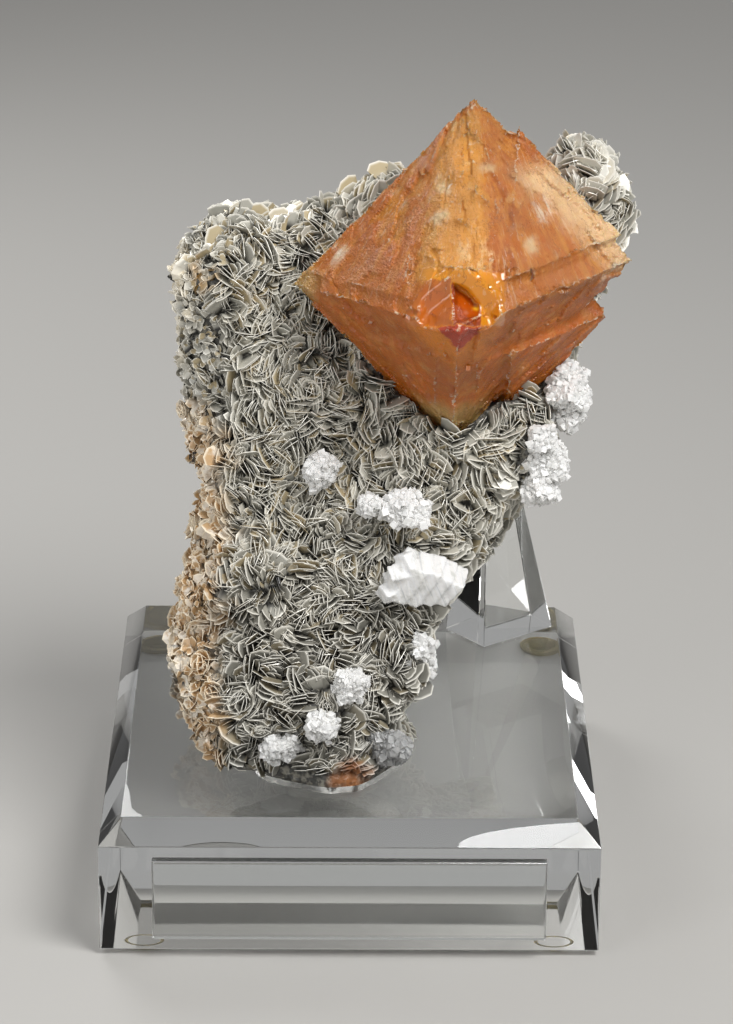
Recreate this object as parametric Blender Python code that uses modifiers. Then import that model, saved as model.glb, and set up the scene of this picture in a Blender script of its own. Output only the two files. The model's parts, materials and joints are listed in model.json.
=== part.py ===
"""A scheelite crystal grown on muscovite, standing in a clear acrylic display stand."""
import math
import random

import bmesh
import bpy
from mathutils import Matrix, Vector, noise

# Sizes are in millimetres. X runs to the right, Y away from the viewer and Z up.
# The acrylic block's middle is at X = Y = 0 and the soles of its feet are at Z = 0.
MM = 0.001
GAP = 0.3
# How far a hollow's faces lie outside those of what fills it, so that slanted faces keep the gap too
HOLLOW_GAP = 0.42
# How much longer the edges of a white crystal are in the hollow that it leaves
CRYSTAL_HOLLOW = 0.9

# The acrylic stand
BLOCK_SIZE = (144.0, 172.0, 39.0)
BLOCK_CHAMFER = 6.5
FOOT_DIAMETER = 12.7
FOOT_HEIGHT = 1.5
FOOT_ROUNDING = 0.6
FOOT_SIDES = 24
FOOT_INSET = (12.7, 9.2)
BLOCK_BOTTOM = FOOT_HEIGHT + GAP
BLOCK_TOP = BLOCK_BOTTOM + BLOCK_SIZE[2]
LABEL_SIZE = (113.0, 3.0, 25.0)
LABEL_BOTTOM = 6.4
LABEL_CHAMFER = 0.6
RECESS_DEPTH = 6.0
# The rim of the recess, anticlockwise from its left end, as the specimen's foot is shaped
RECESS_RIM = [
    (-44, -24), (-41, -33), (-29.5, -42), (-24, -50.5), (-9, -58), (-1.5, -58), (5, -54.5),
    (16, -37.5), (17.5, -30), (14, -12), (0, -3), (-20, -1), (-36, -8),
]
# How far the specimen's foot stays from the rim, and how far it runs up into the mica
RECESS_CLEARANCE = 2.2
RECESS_OVERLAP = 5.0
POST_CORNER = (42.0, 45.1)
POST_SIDES = (28.0, 19.2)
POST_TURN = 38.0
POST_TOP_SHARE = 0.24
POST_TOP = (43.5, 57.0, 112.0)

# The scheelite: its middle, and its six corners measured from there
CRYSTAL_MIDDLE = Vector((31.1, -8.0, 182.0))
CORNERS = {
    "top": Vector((3.7, -3.0, 54.4)),
    "bottom": Vector((-1.4, 2.0, -55.0)),
    "front": Vector((-1.1, -48.0, -1.9)),
    "back": Vector((1.1, 48.0, 1.9)),
    "left": Vector((-48.8, 1.0, -4.3)),
    "right": Vector((50.6, -1.0, 4.1)),
}
CRYSTAL_HALF_WIDTHS = (
    (CORNERS["right"].x - CORNERS["left"].x) / 2,
    (CORNERS["back"].y - CORNERS["front"].y) / 2,
    (CORNERS["top"].z - CORNERS["bottom"].z) / 2,
)
CRYSTAL_FACE_DISTANCE = 29.0
# Parallel growth on a face, an edge or a corner: the corners it lies between with their shares, how large
# it is beside the whole crystal, and how far it stands out
GROWTH = [
    ({"top": 0.36, "right": 0.64}, 0.66, 3.0),
    ({"top": 0.50, "front": 0.20, "right": 0.30}, 0.46, 0.9),
    ({"top": 0.16, "front": 0.24, "right": 0.60}, 0.34, 1.3),
    ({"top": 0.30, "front": 0.55, "right": 0.15}, 0.26, 1.0),
    ({"top": 0.52, "front": 0.26, "left": 0.22}, 0.50, 0.8),
    ({"top": 0.12, "front": 0.40, "left": 0.48}, 0.38, 1.2),
    ({"bottom": 0.42, "front": 0.38, "left": 0.20}, 0.44, 1.5),
    ({"bottom": 0.10, "front": 0.25, "left": 0.65}, 0.22, 1.0),
    ({"bottom": 0.55, "front": 0.25, "right": 0.20}, 0.40, 1.2),
    ({"bottom": 0.15, "front": 0.45, "right": 0.40}, 0.26, 0.8),
    ({"top": 0.45, "back": 0.30, "right": 0.25}, 0.44, 1.1),
    ({"top": 0.40, "back": 0.25, "left": 0.35}, 0.40, 1.2),
    ({"left": 1.0}, 0.94, 0.6),
    ({"right": 1.0}, 0.93, 0.7),
    ({"bottom": 1.0}, 0.20, 1.2),
]
# The parallel crystal that makes the lower right side fuller: its size, and its middle from the main one
SIDE_CRYSTAL_SIZE = 0.60
SIDE_CRYSTAL_MIDDLE = Vector((15.6, 9.5, -18.0))
# What is missing along the ridge between the two upper front faces: a band of steps, then the two glassy faces of
# the broken front corner. For each: where it starts and ends along the ridge, from 0 at the top to 1 at the front
# corner, how deep it is there, how much its floor leans to the left, how far it reaches to the right and to the
# left, how many times wider it is at its lower end, and how much further down its left side lies per millimetre.
RIDGE_CUTS = [
    ((0.05, 0.16), (1.2, 1.2), 0.06, (-24.0, 24.0), 1.0, 0.002),
    ((0.18, 0.32), (2.2, 2.8), 0.20, (-1.0, 24.0), 1.0, -0.003),
    ((0.22, 0.38), (2.9, 3.2), 0.00, (-24.0, 1.5), 1.0, 0.004),
    ((0.36, 0.50), (3.8, 4.0), 0.16, (-1.0, 24.0), 1.0, 0.004),
    ((0.43, 0.60), (4.3, 4.0), -0.04, (-24.0, 1.0), 1.0, -0.004),
    ((0.55, 0.72), (5.0, 3.8), 0.18, (-2.0, 24.0), 1.0, -0.003),
    ((0.64, 0.72), (5.2, 3.6), 0.02, (-24.0, 0.0), 1.0, 0.003),
    ((0.765, 0.985), (4.0, 0.5), 1.0, (-6.0, 14.0), 1.5, 0.008),
    ((0.765, 0.985), (4.4, 0.5), -1.0, (-13.0, 6.0), 1.2, -0.008),
]
RIDGE_CUT_HEIGHT = 12.0
# How far up the ridge the upper end of a cut slants, for each millimetre of its depth
RIDGE_CUT_SLANT = 0.012
# The notch between the two glassy faces: its mouth, brought forward to clear the skin, then its floor
NOTCH = [
    (-3.7, -41.3, 12.1), (1.1, -41.0, 9.1), (5.7, -41.6, 3.7), (6.2, -45.5, 0.2), (-2.9, -50.6, 0.5),
    (-2.2, -30.8, 6.4), (1.4, -30.6, 4.1), (4.8, -31.2, 0.2), (4.8, -35.5, -1.2), (-1.7, -40.2, -1.5),
]
# What is broken or missing: each box's middle and size, and its turn about the upright axis in degrees
BREAKS = [
    ((-47.0, -10.0, -4.0), (12.0, 14.0, 40.0), 0.0),
    ((48.6, -6.0, -9.0), (10.0, 40.0, 15.0), 0.0),
    ((44.0, -12.0, 10.5), (7.0, 8.0, 5.0), 30.0),
]

# The mica body, by level: height, left, right, front and back
BODY_LEVELS = [
    (38, -41, 14, -55, -3),
    (47, -46, 16, -54, 4),
    (57, -54, 19, -50, 12),
    (70, -55, 22, -45, 22),
    (84, -54, 32, -38, 33),
    (97, -48, 44, -31, 44),
    (110, -47, 54, -25, 53),
    (124, -51, 61, -18, 56),
    (140, -54, 64, -10, 55),
    (156, -54, 66, -4, 54),
    (168, -55, 70, 1, 52),
    (178, -53, 75, 6, 47),
    (186, -48, 75, 10, 41),
    (191, -40, 68, 14, 34),
]
BODY_SIDES = 36
BODY_SQUARENESS = 2.8
# Lumps that stand out of it: middle and half-widths
LUMPS = [
    ((69, 26, 188), (14, 17, 25)),
    ((9, 25, 183), (16, 18, 23)),
    ((14, -21, 103), (15, 13, 12)),
    ((-27, -29, 91), (16, 12, 14)),
    ((-8, -45, 57), (20, 11, 15)),
    ((14, -33, 70), (9, 13, 13)),
    ((45, -6, 128), (20, 14, 15)),
    ((-38, 8, 170), (15, 12, 17)),
    ((-20, 38, 140), (22, 16, 24)),
    ((30, 44, 165), (24, 14, 18)),
    ((-30, 24, 100), (18, 14, 16)),
    ((38, 44, 113), (16, 12, 17)),
]
BODY_GRAIN = 3.0
BODY_SMOOTHING = 3
BODY_TRIANGLES = 1250
# How the skin swells: the width and height of each wave, and of the rosettes with creases between them
SWELLS = ((26.0, 2.6), (9.0, 1.0))
ROSETTE_WIDTH = 20.0
ROSETTE_HEIGHT = 4.0
ROSETTE_STEEPNESS = 1.3
ROSETTE_SHARE_OUT = 0.42
# Mica books: hexagonal plates in fans that stand on the body
BOOK_SEED = 11
BOOK_FANS = 40
BOOK_TRIES = 4000
BOOK_SPACING = 16.5
BOOKS_IN_FAN = (2, 3)
BOOK_RADIUS = (7.0, 9.5)
BOOK_THICKNESS = (1.5, 2.2)
BOOK_SPREAD = 24.0
BOOK_LEAN = 25.0
BOOK_STEP = 3.4
BOOK_RISE = (2.8, 4.0)
# How often a fan stands on a face that looks away, beside one that looks to the front
BOOK_BACK_SHARE = 0.12
# How near to the scheelite and to the acrylic block a fan may stand
BOOK_FROM_CRYSTAL = 4.0
BOOK_FROM_BLOCK = 6.0

# White crystals: middle, reach of the cluster, edge of one crystal, how many, and seed
CLUSTERS = {
    "calcite_upper": ((12.5, -30.5, 117), (8.0, 2.5, 1.6), 6.5, 5, 3),
    "calcite_right_upper": ((64, -4, 143), (2.0, 5.0, 8.0), 8.0, 4, 5),
    "calcite_right_lower": ((58, -15, 126), (3.0, 5.0, 8.0), 9.0, 5, 8),
    "calcite_left": ((-9, -21, 124), (1.5, 1.5, 1.5), 7.0, 3, 2),
    "calcite_centre_low": ((0, -52, 70), (1.5, 1.5, 1.0), 8.0, 2, 21),
    "calcite_left_low": ((-8.5, -56, 59), (1.2, 1.0, 1.2), 6.0, 3, 14),
    "calcite_foot_left": ((-20.5, -54, 51.5), (2.5, 1.0, 1.0), 5.5, 3, 17),
    "calcite_flank": ((18, -39, 75), (3.5, 3.5, 6.0), 7.0, 5, 12),
    "quartz_foot": ((11, -50, 49.5), (4.0, 3.0, 3.5), 6.5, 5, 31),
}
BESIDE_SCHEELITE = ("calcite_right_upper",)
CRYSTAL_SIZES = (0.72, 1.1)
CLEAVAGE_FLATTENING = 0.82
# The large striated crystal: its middle, its size, how it is turned, and its stepped, slanting slabs
LARGE_MIDDLE = Vector((21.5, -38.5, 97.0))
LARGE_SIZE = (19.0, 11.0, 15.0)
LARGE_TURN = (18.0, 14.0, -10.0)
LARGE_SLABS = 5
LARGE_SLAB_OVERLAP = 0.8
LARGE_STEP_BACK = 1.1
LARGE_STEP_DOWN = 2.4
LARGE_TALLEST = 1.5
LARGE_SLANT = 3.0
# The small crystals along its left side: how many, their edge and seed, and their shares across and along
LARGE_SMALL_COUNT = 4
LARGE_SMALL_EDGE = 5.5
LARGE_SMALL_SEED = 4
LARGE_SMALL_SIDE = (-0.42, -0.2)

# Colour, roughness and how clear it is
FINISHES = {
    "scheelite": ((0.60, 0.20, 0.045), 0.32, 0.3),
    "muscovite": ((0.36, 0.35, 0.31), 0.42, 0.0),
    "calcite": ((0.86, 0.87, 0.88), 0.35, 0.0),
    "quartz": ((0.80, 0.80, 0.80), 0.12, 0.6),
    "acrylic": ((0.92, 0.95, 0.96), 0.04, 1.0),
    "bumper": ((0.86, 0.80, 0.62), 0.20, 0.6),
}


def clear_scene():
    for obj in list(bpy.data.objects):
        bpy.data.objects.remove(obj, do_unlink=True)


def new_collection(name):
    collection = bpy.data.collections.new(name)
    bpy.context.scene.collection.children.link(collection)
    return collection


def principled(name):
    """A material with the finish that the table of finishes gives."""
    colour, roughness, clearness = FINISHES[name]
    material = bpy.data.materials.new(name)
    material.use_nodes = True
    shader = material.node_tree.nodes["Principled BSDF"]
    shader.inputs["Base Color"].default_value = (*colour, 1.0)
    shader.inputs["Roughness"].default_value = roughness
    shader.inputs["Metallic"].default_value = 0.0
    shader.inputs["Transmission Weight"].default_value = clearness
    return material


def mesh_object(name, bm, collection):
    """Turns a bmesh in millimetres into an object in metres."""
    bmesh.ops.scale(bm, vec=(MM, MM, MM), verts=bm.verts)
    bmesh.ops.recalc_face_normals(bm, faces=bm.faces)
    mesh = bpy.data.meshes.new(name)
    bm.to_mesh(mesh)
    bm.free()
    obj = bpy.data.objects.new(name, mesh)
    collection.objects.link(obj)
    return obj


def box(name, collection, middle, size, turn=0.0):
    bm = bmesh.new()
    bmesh.ops.create_cube(bm, size=1.0)
    bmesh.ops.scale(bm, vec=size, verts=bm.verts)
    bmesh.ops.rotate(bm, cent=(0, 0, 0), matrix=Matrix.Rotation(math.radians(turn), 3, "Z"), verts=bm.verts)
    bmesh.ops.translate(bm, vec=middle, verts=bm.verts)
    return mesh_object(name, bm, collection)


def convex(name, collection, points):
    """The closed convex solid round the points."""
    bm = bmesh.new()
    verts = [bm.verts.new(point) for point in points]
    bmesh.ops.convex_hull(bm, input=verts, use_existing_faces=False)
    return mesh_object(name, bm, collection)


def cube_corners():
    """The eight corners of a cube with an edge of 1."""
    halves = (-0.5, 0.5)
    return [Vector((x, y, z)) for x in halves for y in halves for z in halves]


def apply_modifiers(obj):
    depsgraph = bpy.context.evaluated_depsgraph_get()
    old = obj.data
    obj.data = bpy.data.meshes.new_from_object(obj.evaluated_get(depsgraph))
    obj.modifiers.clear()
    bpy.data.meshes.remove(old)


def combine(obj, other, operation, use_self=False):
    """Applies one exact Boolean with another object, which is kept as a wire guide."""
    modifier = obj.modifiers.new(operation.lower(), "BOOLEAN")
    modifier.operation = operation
    modifier.solver = "EXACT"
    modifier.use_self = use_self
    modifier.object = other
    apply_modifiers(obj)
    other.hide_render = True
    other.display_type = "WIRE"


def grown_together(pieces):
    """One solid from pieces that grew into each other."""
    whole = pieces[0]
    for piece in pieces[1:]:
        combine(whole, piece, "UNION")
    return whole


def hand_over(obj, name, cutters, parts):
    """Names a finished solid and moves it from the cutters to the parts."""
    cutters.objects.unlink(obj)
    parts.objects.link(obj)
    obj.name = name
    obj.data.name = name
    return obj


def outline_solid(name, collection, points, bottom, top, inset=0.0):
    """An upright solid on a closed outline, drawn in by an inset."""
    curve = bpy.data.curves.new(name, "CURVE")
    curve.dimensions = "2D"
    curve.fill_mode = "BOTH"
    curve.extrude = (top - bottom) * MM / 2
    spline = curve.splines.new("POLY")
    spline.use_cyclic_u = True
    spline.points.add(len(points) - 1)
    middle = sum((Vector(point) for point in points), Vector((0, 0))) / len(points)
    for point, place in zip(spline.points, points):
        arm = Vector(place) - middle
        drawn = middle + arm * (1 - inset / arm.length)
        point.co = (drawn.x * MM, drawn.y * MM, 0, 1)
    guide = bpy.data.objects.new(name + "_curve", curve)
    collection.objects.link(guide)
    depsgraph = bpy.context.evaluated_depsgraph_get()
    mesh = bpy.data.meshes.new_from_object(guide.evaluated_get(depsgraph))
    bpy.data.objects.remove(guide, do_unlink=True)
    bm = bmesh.new()
    bm.from_mesh(mesh)
    bmesh.ops.remove_doubles(bm, verts=bm.verts, dist=1e-6)
    bmesh.ops.translate(bm, vec=(0, 0, (top + bottom) * MM / 2), verts=bm.verts)
    bmesh.ops.recalc_face_normals(bm, faces=bm.faces)
    bm.to_mesh(mesh)
    bm.free()
    obj = bpy.data.objects.new(name, mesh)
    collection.objects.link(obj)
    return obj


# The scheelite crystal

def growth_places():
    """The middle and size of the main crystal and of each parallel growth on it."""
    places = [(Vector((0, 0, 0)), 1.0)]
    for shares, size, rise in GROWTH:
        point = sum((CORNERS[corner] * share for corner, share in shares.items()), Vector((0, 0, 0)))
        places.append((point * (1 - size) + point.normalized() * rise, size))
    places.append((SIDE_CRYSTAL_MIDDLE, SIDE_CRYSTAL_SIZE))
    return places


def parallel_crystals(name, collection, extra=0.0):
    """All the eight-faced crystals in their common direction, their faces moved out by an extra."""
    pieces = []
    for number, (middle, size) in enumerate(growth_places()):
        ratio = size + extra / CRYSTAL_FACE_DISTANCE
        points = [CRYSTAL_MIDDLE + middle + corner * ratio for corner in CORNERS.values()]
        pieces.append(convex(f"{name}_{number}", collection, points))
    return grown_together(pieces)


def ridge_cut(name, collection, ends, depths, lean, reaches, spread, skew):
    """What is missing over one stretch of the ridge."""
    along = CORNERS["front"] - CORNERS["top"]
    outward = Vector((-lean, -1, 1))
    outward = (outward - along * outward.dot(along) / along.length_squared).normalized()
    sideways = along.cross(outward).normalized()
    points = []
    for end, depth, slant, widening in zip(ends, depths, (RIDGE_CUT_SLANT, 0.0), (1.0, spread)):
        for rise in (-depth, RIDGE_CUT_HEIGHT):
            for reach in reaches:
                wide = reach * widening
                share = end + skew * wide - slant * (rise + depth)
                points.append(CRYSTAL_MIDDLE + CORNERS["top"] + along * share + outward * rise + sideways * wide)
    return convex(name, collection, points)


def scheelite(parts, cutters):
    crystal = parallel_crystals("growth", cutters)
    for number, cut in enumerate(RIDGE_CUTS):
        combine(crystal, ridge_cut(f"ridge_{number}", cutters, *cut), "DIFFERENCE")
    notch = convex("notch", cutters, [CRYSTAL_MIDDLE + Vector(point) for point in NOTCH])
    combine(crystal, notch, "DIFFERENCE")
    for number, (middle, size, turn) in enumerate(BREAKS):
        cut = box(f"break_{number}", cutters, CRYSTAL_MIDDLE + Vector(middle), size, turn)
        combine(crystal, cut, "DIFFERENCE")
    return hand_over(crystal, "scheelite_crystal", cutters, parts)


def near_crystal(place, distance):
    """Whether a place is inside the main crystal, or nearer to its faces than a distance."""
    arm = place - CRYSTAL_MIDDLE
    reach = sum(abs(step) / half for step, half in zip(arm, CRYSTAL_HALF_WIDTHS))
    return (reach - 1) * CRYSTAL_FACE_DISTANCE < distance


# The mica

def body_ring(level):
    """The points round the body at one level, a rounded rectangle."""
    height, left, right, front, back = level
    power = 2 / BODY_SQUARENESS
    points = []
    for step in range(BODY_SIDES):
        angle = 2 * math.pi * step / BODY_SIDES
        across = math.copysign(abs(math.cos(angle)) ** power, math.cos(angle))
        along = math.copysign(abs(math.sin(angle)) ** power, math.sin(angle))
        x = (left + right) / 2 + across * (right - left) / 2
        y = (front + back) / 2 + along * (back - front) / 2
        points.append(Vector((x, y, height)))
    return points


def mica_body(cutters):
    """The lumpy body under the books: a loft and its lumps, made one skin."""
    bm = bmesh.new()
    rings = [[bm.verts.new(point) for point in body_ring(level)] for level in BODY_LEVELS]
    for low, high in zip(rings, rings[1:]):
        for step in range(BODY_SIDES):
            after = (step + 1) % BODY_SIDES
            bm.faces.new((low[step], low[after], high[after], high[step]))
    bm.faces.new(reversed(rings[0]))
    bm.faces.new(rings[-1])
    for middle, radii in LUMPS:
        lump = bmesh.ops.create_icosphere(bm, subdivisions=3, radius=1.0)["verts"]
        bmesh.ops.scale(bm, vec=radii, verts=lump)
        bmesh.ops.translate(bm, vec=middle, verts=lump)
    body = mesh_object("mica_body", bm, cutters)
    skin = body.modifiers.new("skin", "REMESH")
    skin.mode = "VOXEL"
    skin.voxel_size = BODY_GRAIN * MM
    soften = body.modifiers.new("soften", "SMOOTH")
    soften.iterations = BODY_SMOOTHING
    apply_modifiers(body)
    swell(body)
    thin = body.modifiers.new("thin", "DECIMATE")
    thin.ratio = BODY_TRIANGLES / sum(len(face.vertices) - 2 for face in body.data.polygons)
    apply_modifiers(body)
    return body


def swell(body):
    """Moves the skin in and out, into rosettes with creases between them."""
    normals = [vertex.normal.copy() for vertex in body.data.vertices]
    for vertex, normal in zip(body.data.vertices, normals):
        place = vertex.co / MM
        move = sum(height * noise.noise(place / width) for width, height in SWELLS)
        from_middle = min(1.0, noise.voronoi(place / ROSETTE_WIDTH)[0][0] * ROSETTE_STEEPNESS)
        move += ROSETTE_HEIGHT * (ROSETTE_SHARE_OUT - from_middle ** 2)
        vertex.co += normal * move * MM


def fan_places(body, chance):
    """Places on the skin for the fans of books, no two nearer than the spacing."""
    faces = [(face.center / MM, face.normal.copy()) for face in body.data.polygons]
    weights = [face.area * (BOOK_BACK_SHARE + max(0.0, -face.normal.y)) for face in body.data.polygons]
    lowest = BLOCK_TOP + BOOK_FROM_BLOCK
    chosen = []
    for place, normal in chance.choices(faces, weights=weights, k=BOOK_TRIES):
        free = all((place - other).length > BOOK_SPACING for other, _ in chosen)
        if free and place.z > lowest and not near_crystal(place, BOOK_FROM_CRYSTAL):
            chosen.append((place, normal))
        if len(chosen) == BOOK_FANS:
            break
    return chosen


def mica_books(body, cutters):
    """All the fans of hexagonal plates as one mesh."""
    chance = random.Random(BOOK_SEED)
    bm = bmesh.new()
    for place, normal in fan_places(body, chance):
        upright = normal.to_track_quat("Z", "Y").to_matrix()
        turn = Matrix.Rotation(chance.uniform(0, math.tau), 3, "Z")
        lean = chance.uniform(-BOOK_LEAN, BOOK_LEAN)
        count = chance.choice(BOOKS_IN_FAN)
        for leaf in range(count):
            from_middle = leaf - (count - 1) / 2
            tilt = Matrix.Rotation(math.radians(90 + lean + BOOK_SPREAD * from_middle), 3, "X")
            radius = chance.uniform(*BOOK_RADIUS)
            thickness = chance.uniform(*BOOK_THICKNESS)
            plate = bmesh.ops.create_cone(
                bm, cap_ends=True, segments=6, radius1=radius, radius2=radius, depth=thickness
            )["verts"]
            spin = Matrix.Rotation(chance.uniform(0, math.tau), 3, "Z")
            lift = Vector((0, 0, chance.uniform(*BOOK_RISE) - radius))
            shift = Vector((0, BOOK_STEP * from_middle, 0))
            for vert in plate:
                vert.co = upright @ turn @ (tilt @ spin @ vert.co + lift + shift) + place
    return mesh_object("mica_books", bm, cutters)


def drop_crumbs(obj):
    """Keeps the largest connected skin, without the crumbs and closed hollows that cutting leaves."""
    bm = bmesh.new()
    bm.from_mesh(obj.data)
    unseen = set(bm.verts)
    skins = []
    while unseen:
        skin = {unseen.pop()}
        edge_of_skin = list(skin)
        while edge_of_skin:
            vert = edge_of_skin.pop()
            fresh = {edge.other_vert(vert) for edge in vert.link_edges} - skin
            skin |= fresh
            edge_of_skin.extend(fresh)
        unseen -= skin
        skins.append(skin)
    largest = max(skins, key=len)
    bmesh.ops.delete(bm, geom=[vert for vert in bm.verts if vert not in largest], context="VERTS")
    bm.to_mesh(obj.data)
    bm.free()


def muscovite(parts, cutters, hollows):
    """The mica with its books, its foot in the recess, and the hollows of what grew in it."""
    body = mica_body(cutters)
    combine(body, mica_books(body, cutters), "UNION", use_self=True)
    under = (2 * BLOCK_SIZE[0], 2 * BLOCK_SIZE[1], BLOCK_TOP)
    ground = box("ground", cutters, (0, 0, BLOCK_TOP / 2 + GAP), under)
    combine(body, ground, "DIFFERENCE")
    foot = outline_solid("foot_in_recess", cutters, RECESS_RIM, BLOCK_TOP - RECESS_DEPTH + GAP,
                         BLOCK_TOP + RECESS_OVERLAP, inset=RECESS_CLEARANCE)
    combine(body, foot, "UNION")
    for hollow in hollows:
        combine(body, hollow, "DIFFERENCE")
    drop_crumbs(body)
    return hand_over(body, "muscovite_matrix", cutters, parts)


# The white crystals

def rhomb_points(middle, edge, turn):
    """The corners of a cleavage rhomb, which is a cube pressed flat along one diagonal."""
    along = Vector((1, 1, 1)).rotation_difference(Vector((0, 0, 1))).to_matrix()
    press = Matrix.Diagonal((1, 1, CLEAVAGE_FLATTENING))
    return [middle + turn @ press @ along @ (corner * edge) for corner in cube_corners()]


def quartz_points(middle, size, turn):
    """The corners of a short six-sided prism with a point at each end."""
    points = []
    for side in (-1, 1):
        points.append(middle + turn @ Vector((0, 0, side * size)))
        for step in range(6):
            angle = math.tau * step / 6
            corner = Vector((math.cos(angle), math.sin(angle), side)) * size / 2
            points.append(middle + turn @ corner)
    return points


def random_turn(chance):
    turn = Matrix.Rotation(chance.uniform(0, math.tau), 3, "Z")
    turn = turn @ Matrix.Rotation(chance.uniform(0, math.pi), 3, "X")
    return turn @ Matrix.Rotation(chance.uniform(0, math.tau), 3, "Z")


def cluster_crystals(name, extra):
    """The corners of each crystal in a cluster, larger by an extra for the hollow that it leaves."""
    middle, reach, edge, count, seed = CLUSTERS[name]
    chance = random.Random(seed)
    shape = quartz_points if name.startswith("quartz") else rhomb_points
    crystals = []
    for number in range(count):
        shift = Vector([chance.uniform(-1, 1) * half for half in reach])
        place = Vector(middle) + (shift if number else Vector((0, 0, 0)))
        size = edge * chance.uniform(*CRYSTAL_SIZES) + extra
        crystals.append(shape(place, size, random_turn(chance)))
    return crystals


def large_crystals(extra):
    """The large crystal: slabs that step back to the right, and small crystals along its left side."""
    turn = Matrix.Rotation(math.radians(LARGE_TURN[2]), 3, "Z")
    turn = Matrix.Rotation(math.radians(LARGE_TURN[0]), 3, "Y") @ turn
    turn = Matrix.Rotation(math.radians(LARGE_TURN[1]), 3, "X") @ turn
    width, depth, height = LARGE_SIZE
    slab = width / LARGE_SLABS
    thick = slab + LARGE_SLAB_OVERLAP + extra
    crystals = []
    for number in range(LARGE_SLABS):
        left = (number - (LARGE_SLABS - 1) / 2) * slab
        back = abs(number - 1) * LARGE_STEP_BACK
        tall = height - abs(number - LARGE_TALLEST) * LARGE_STEP_DOWN + extra
        points = []
        for corner in cube_corners():
            x = left + corner.x * thick + corner.z * LARGE_SLANT
            y = back + corner.y * (depth + extra)
            points.append(LARGE_MIDDLE + turn @ Vector((x, y, corner.z * tall)))
        crystals.append(points)
    chance = random.Random(LARGE_SMALL_SEED)
    for number in range(LARGE_SMALL_COUNT):
        along = (number - (LARGE_SMALL_COUNT - 1) / 2) / LARGE_SMALL_COUNT
        spot = Vector((width * LARGE_SMALL_SIDE[0], depth * LARGE_SMALL_SIDE[1], along * height))
        spot += Vector((chance.uniform(-1.5, 1.0), chance.uniform(-1.5, 1.5), 0))
        place = LARGE_MIDDLE + turn @ spot
        crystals.append(rhomb_points(place, LARGE_SMALL_EDGE + extra, random_turn(chance)))
    return crystals


def fused(name, crystals, cutters):
    """One solid from the corners of crystals that grew into each other."""
    pieces = [convex(f"{name}_{number}", cutters, points) for number, points in enumerate(crystals)]
    return grown_together(pieces)


def white_crystals(parts, cutters, socket):
    """Every white cluster, and the hollows that they leave in the mica."""
    whites = []
    hollows = []
    for name in CLUSTERS:
        white = fused(name + "_crystal", cluster_crystals(name, 0.0), cutters)
        if name in BESIDE_SCHEELITE:
            combine(white, socket, "DIFFERENCE")
        whites.append(hand_over(white, name, cutters, parts))
        hollows.append(fused(name + "_hollow", cluster_crystals(name, CRYSTAL_HOLLOW), cutters))
    large = fused("large_crystal", large_crystals(0.0), cutters)
    whites.append(hand_over(large, "calcite_large", cutters, parts))
    hollows.append(fused("large_hollow", large_crystals(CRYSTAL_HOLLOW), cutters))
    return whites, hollows


# The acrylic stand

def display_block(parts, cutters):
    bm = bmesh.new()
    bmesh.ops.create_cube(bm, size=1.0)
    bmesh.ops.scale(bm, vec=BLOCK_SIZE, verts=bm.verts)
    rim = [edge for edge in bm.edges if all(vert.co.z > 0 for vert in edge.verts)]
    bmesh.ops.bevel(bm, geom=rim, offset=BLOCK_CHAMFER, segments=1, affect="EDGES")
    bmesh.ops.translate(bm, vec=(0, 0, (BLOCK_BOTTOM + BLOCK_TOP) / 2), verts=bm.verts)
    block = mesh_object("display_block", bm, parts)
    floor = BLOCK_TOP - RECESS_DEPTH
    recess = outline_solid("recess", cutters, RECESS_RIM, floor, BLOCK_TOP + RECESS_OVERLAP)
    combine(block, recess, "DIFFERENCE")
    return block


def support_post(name, collection, extra=0.0):
    """The tapered post, larger by an extra for the hollow that it leaves in the mica."""
    turn = Matrix.Rotation(math.radians(POST_TURN), 3, "Z")
    wide, deep = POST_SIDES
    foot = Vector((*POST_CORNER, BLOCK_TOP + GAP)) + turn @ Vector((wide / 2, deep / 2, 0))
    tip = Vector(POST_TOP) + Vector((0, 0, extra))
    points = []
    for share, centre in ((1.0, foot), (POST_TOP_SHARE, tip)):
        for x, y in ((-1, -1), (1, -1), (1, 1), (-1, 1)):
            arm = Vector((x * (wide * share / 2 + extra), y * (deep * share / 2 + extra), 0))
            points.append(centre + turn @ arm)
    return convex(name, collection, points)


def label_plate(parts):
    bm = bmesh.new()
    bmesh.ops.create_cube(bm, size=1.0)
    bmesh.ops.scale(bm, vec=LABEL_SIZE, verts=bm.verts)
    front = [edge for edge in bm.edges if all(vert.co.y < 0 for vert in edge.verts)]
    bmesh.ops.bevel(bm, geom=front, offset=LABEL_CHAMFER, segments=1, affect="EDGES")
    middle = (0, -(BLOCK_SIZE[1] + LABEL_SIZE[1]) / 2 - GAP, LABEL_BOTTOM + LABEL_SIZE[2] / 2)
    bmesh.ops.translate(bm, vec=middle, verts=bm.verts)
    return mesh_object("label_plate", bm, parts)


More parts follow.
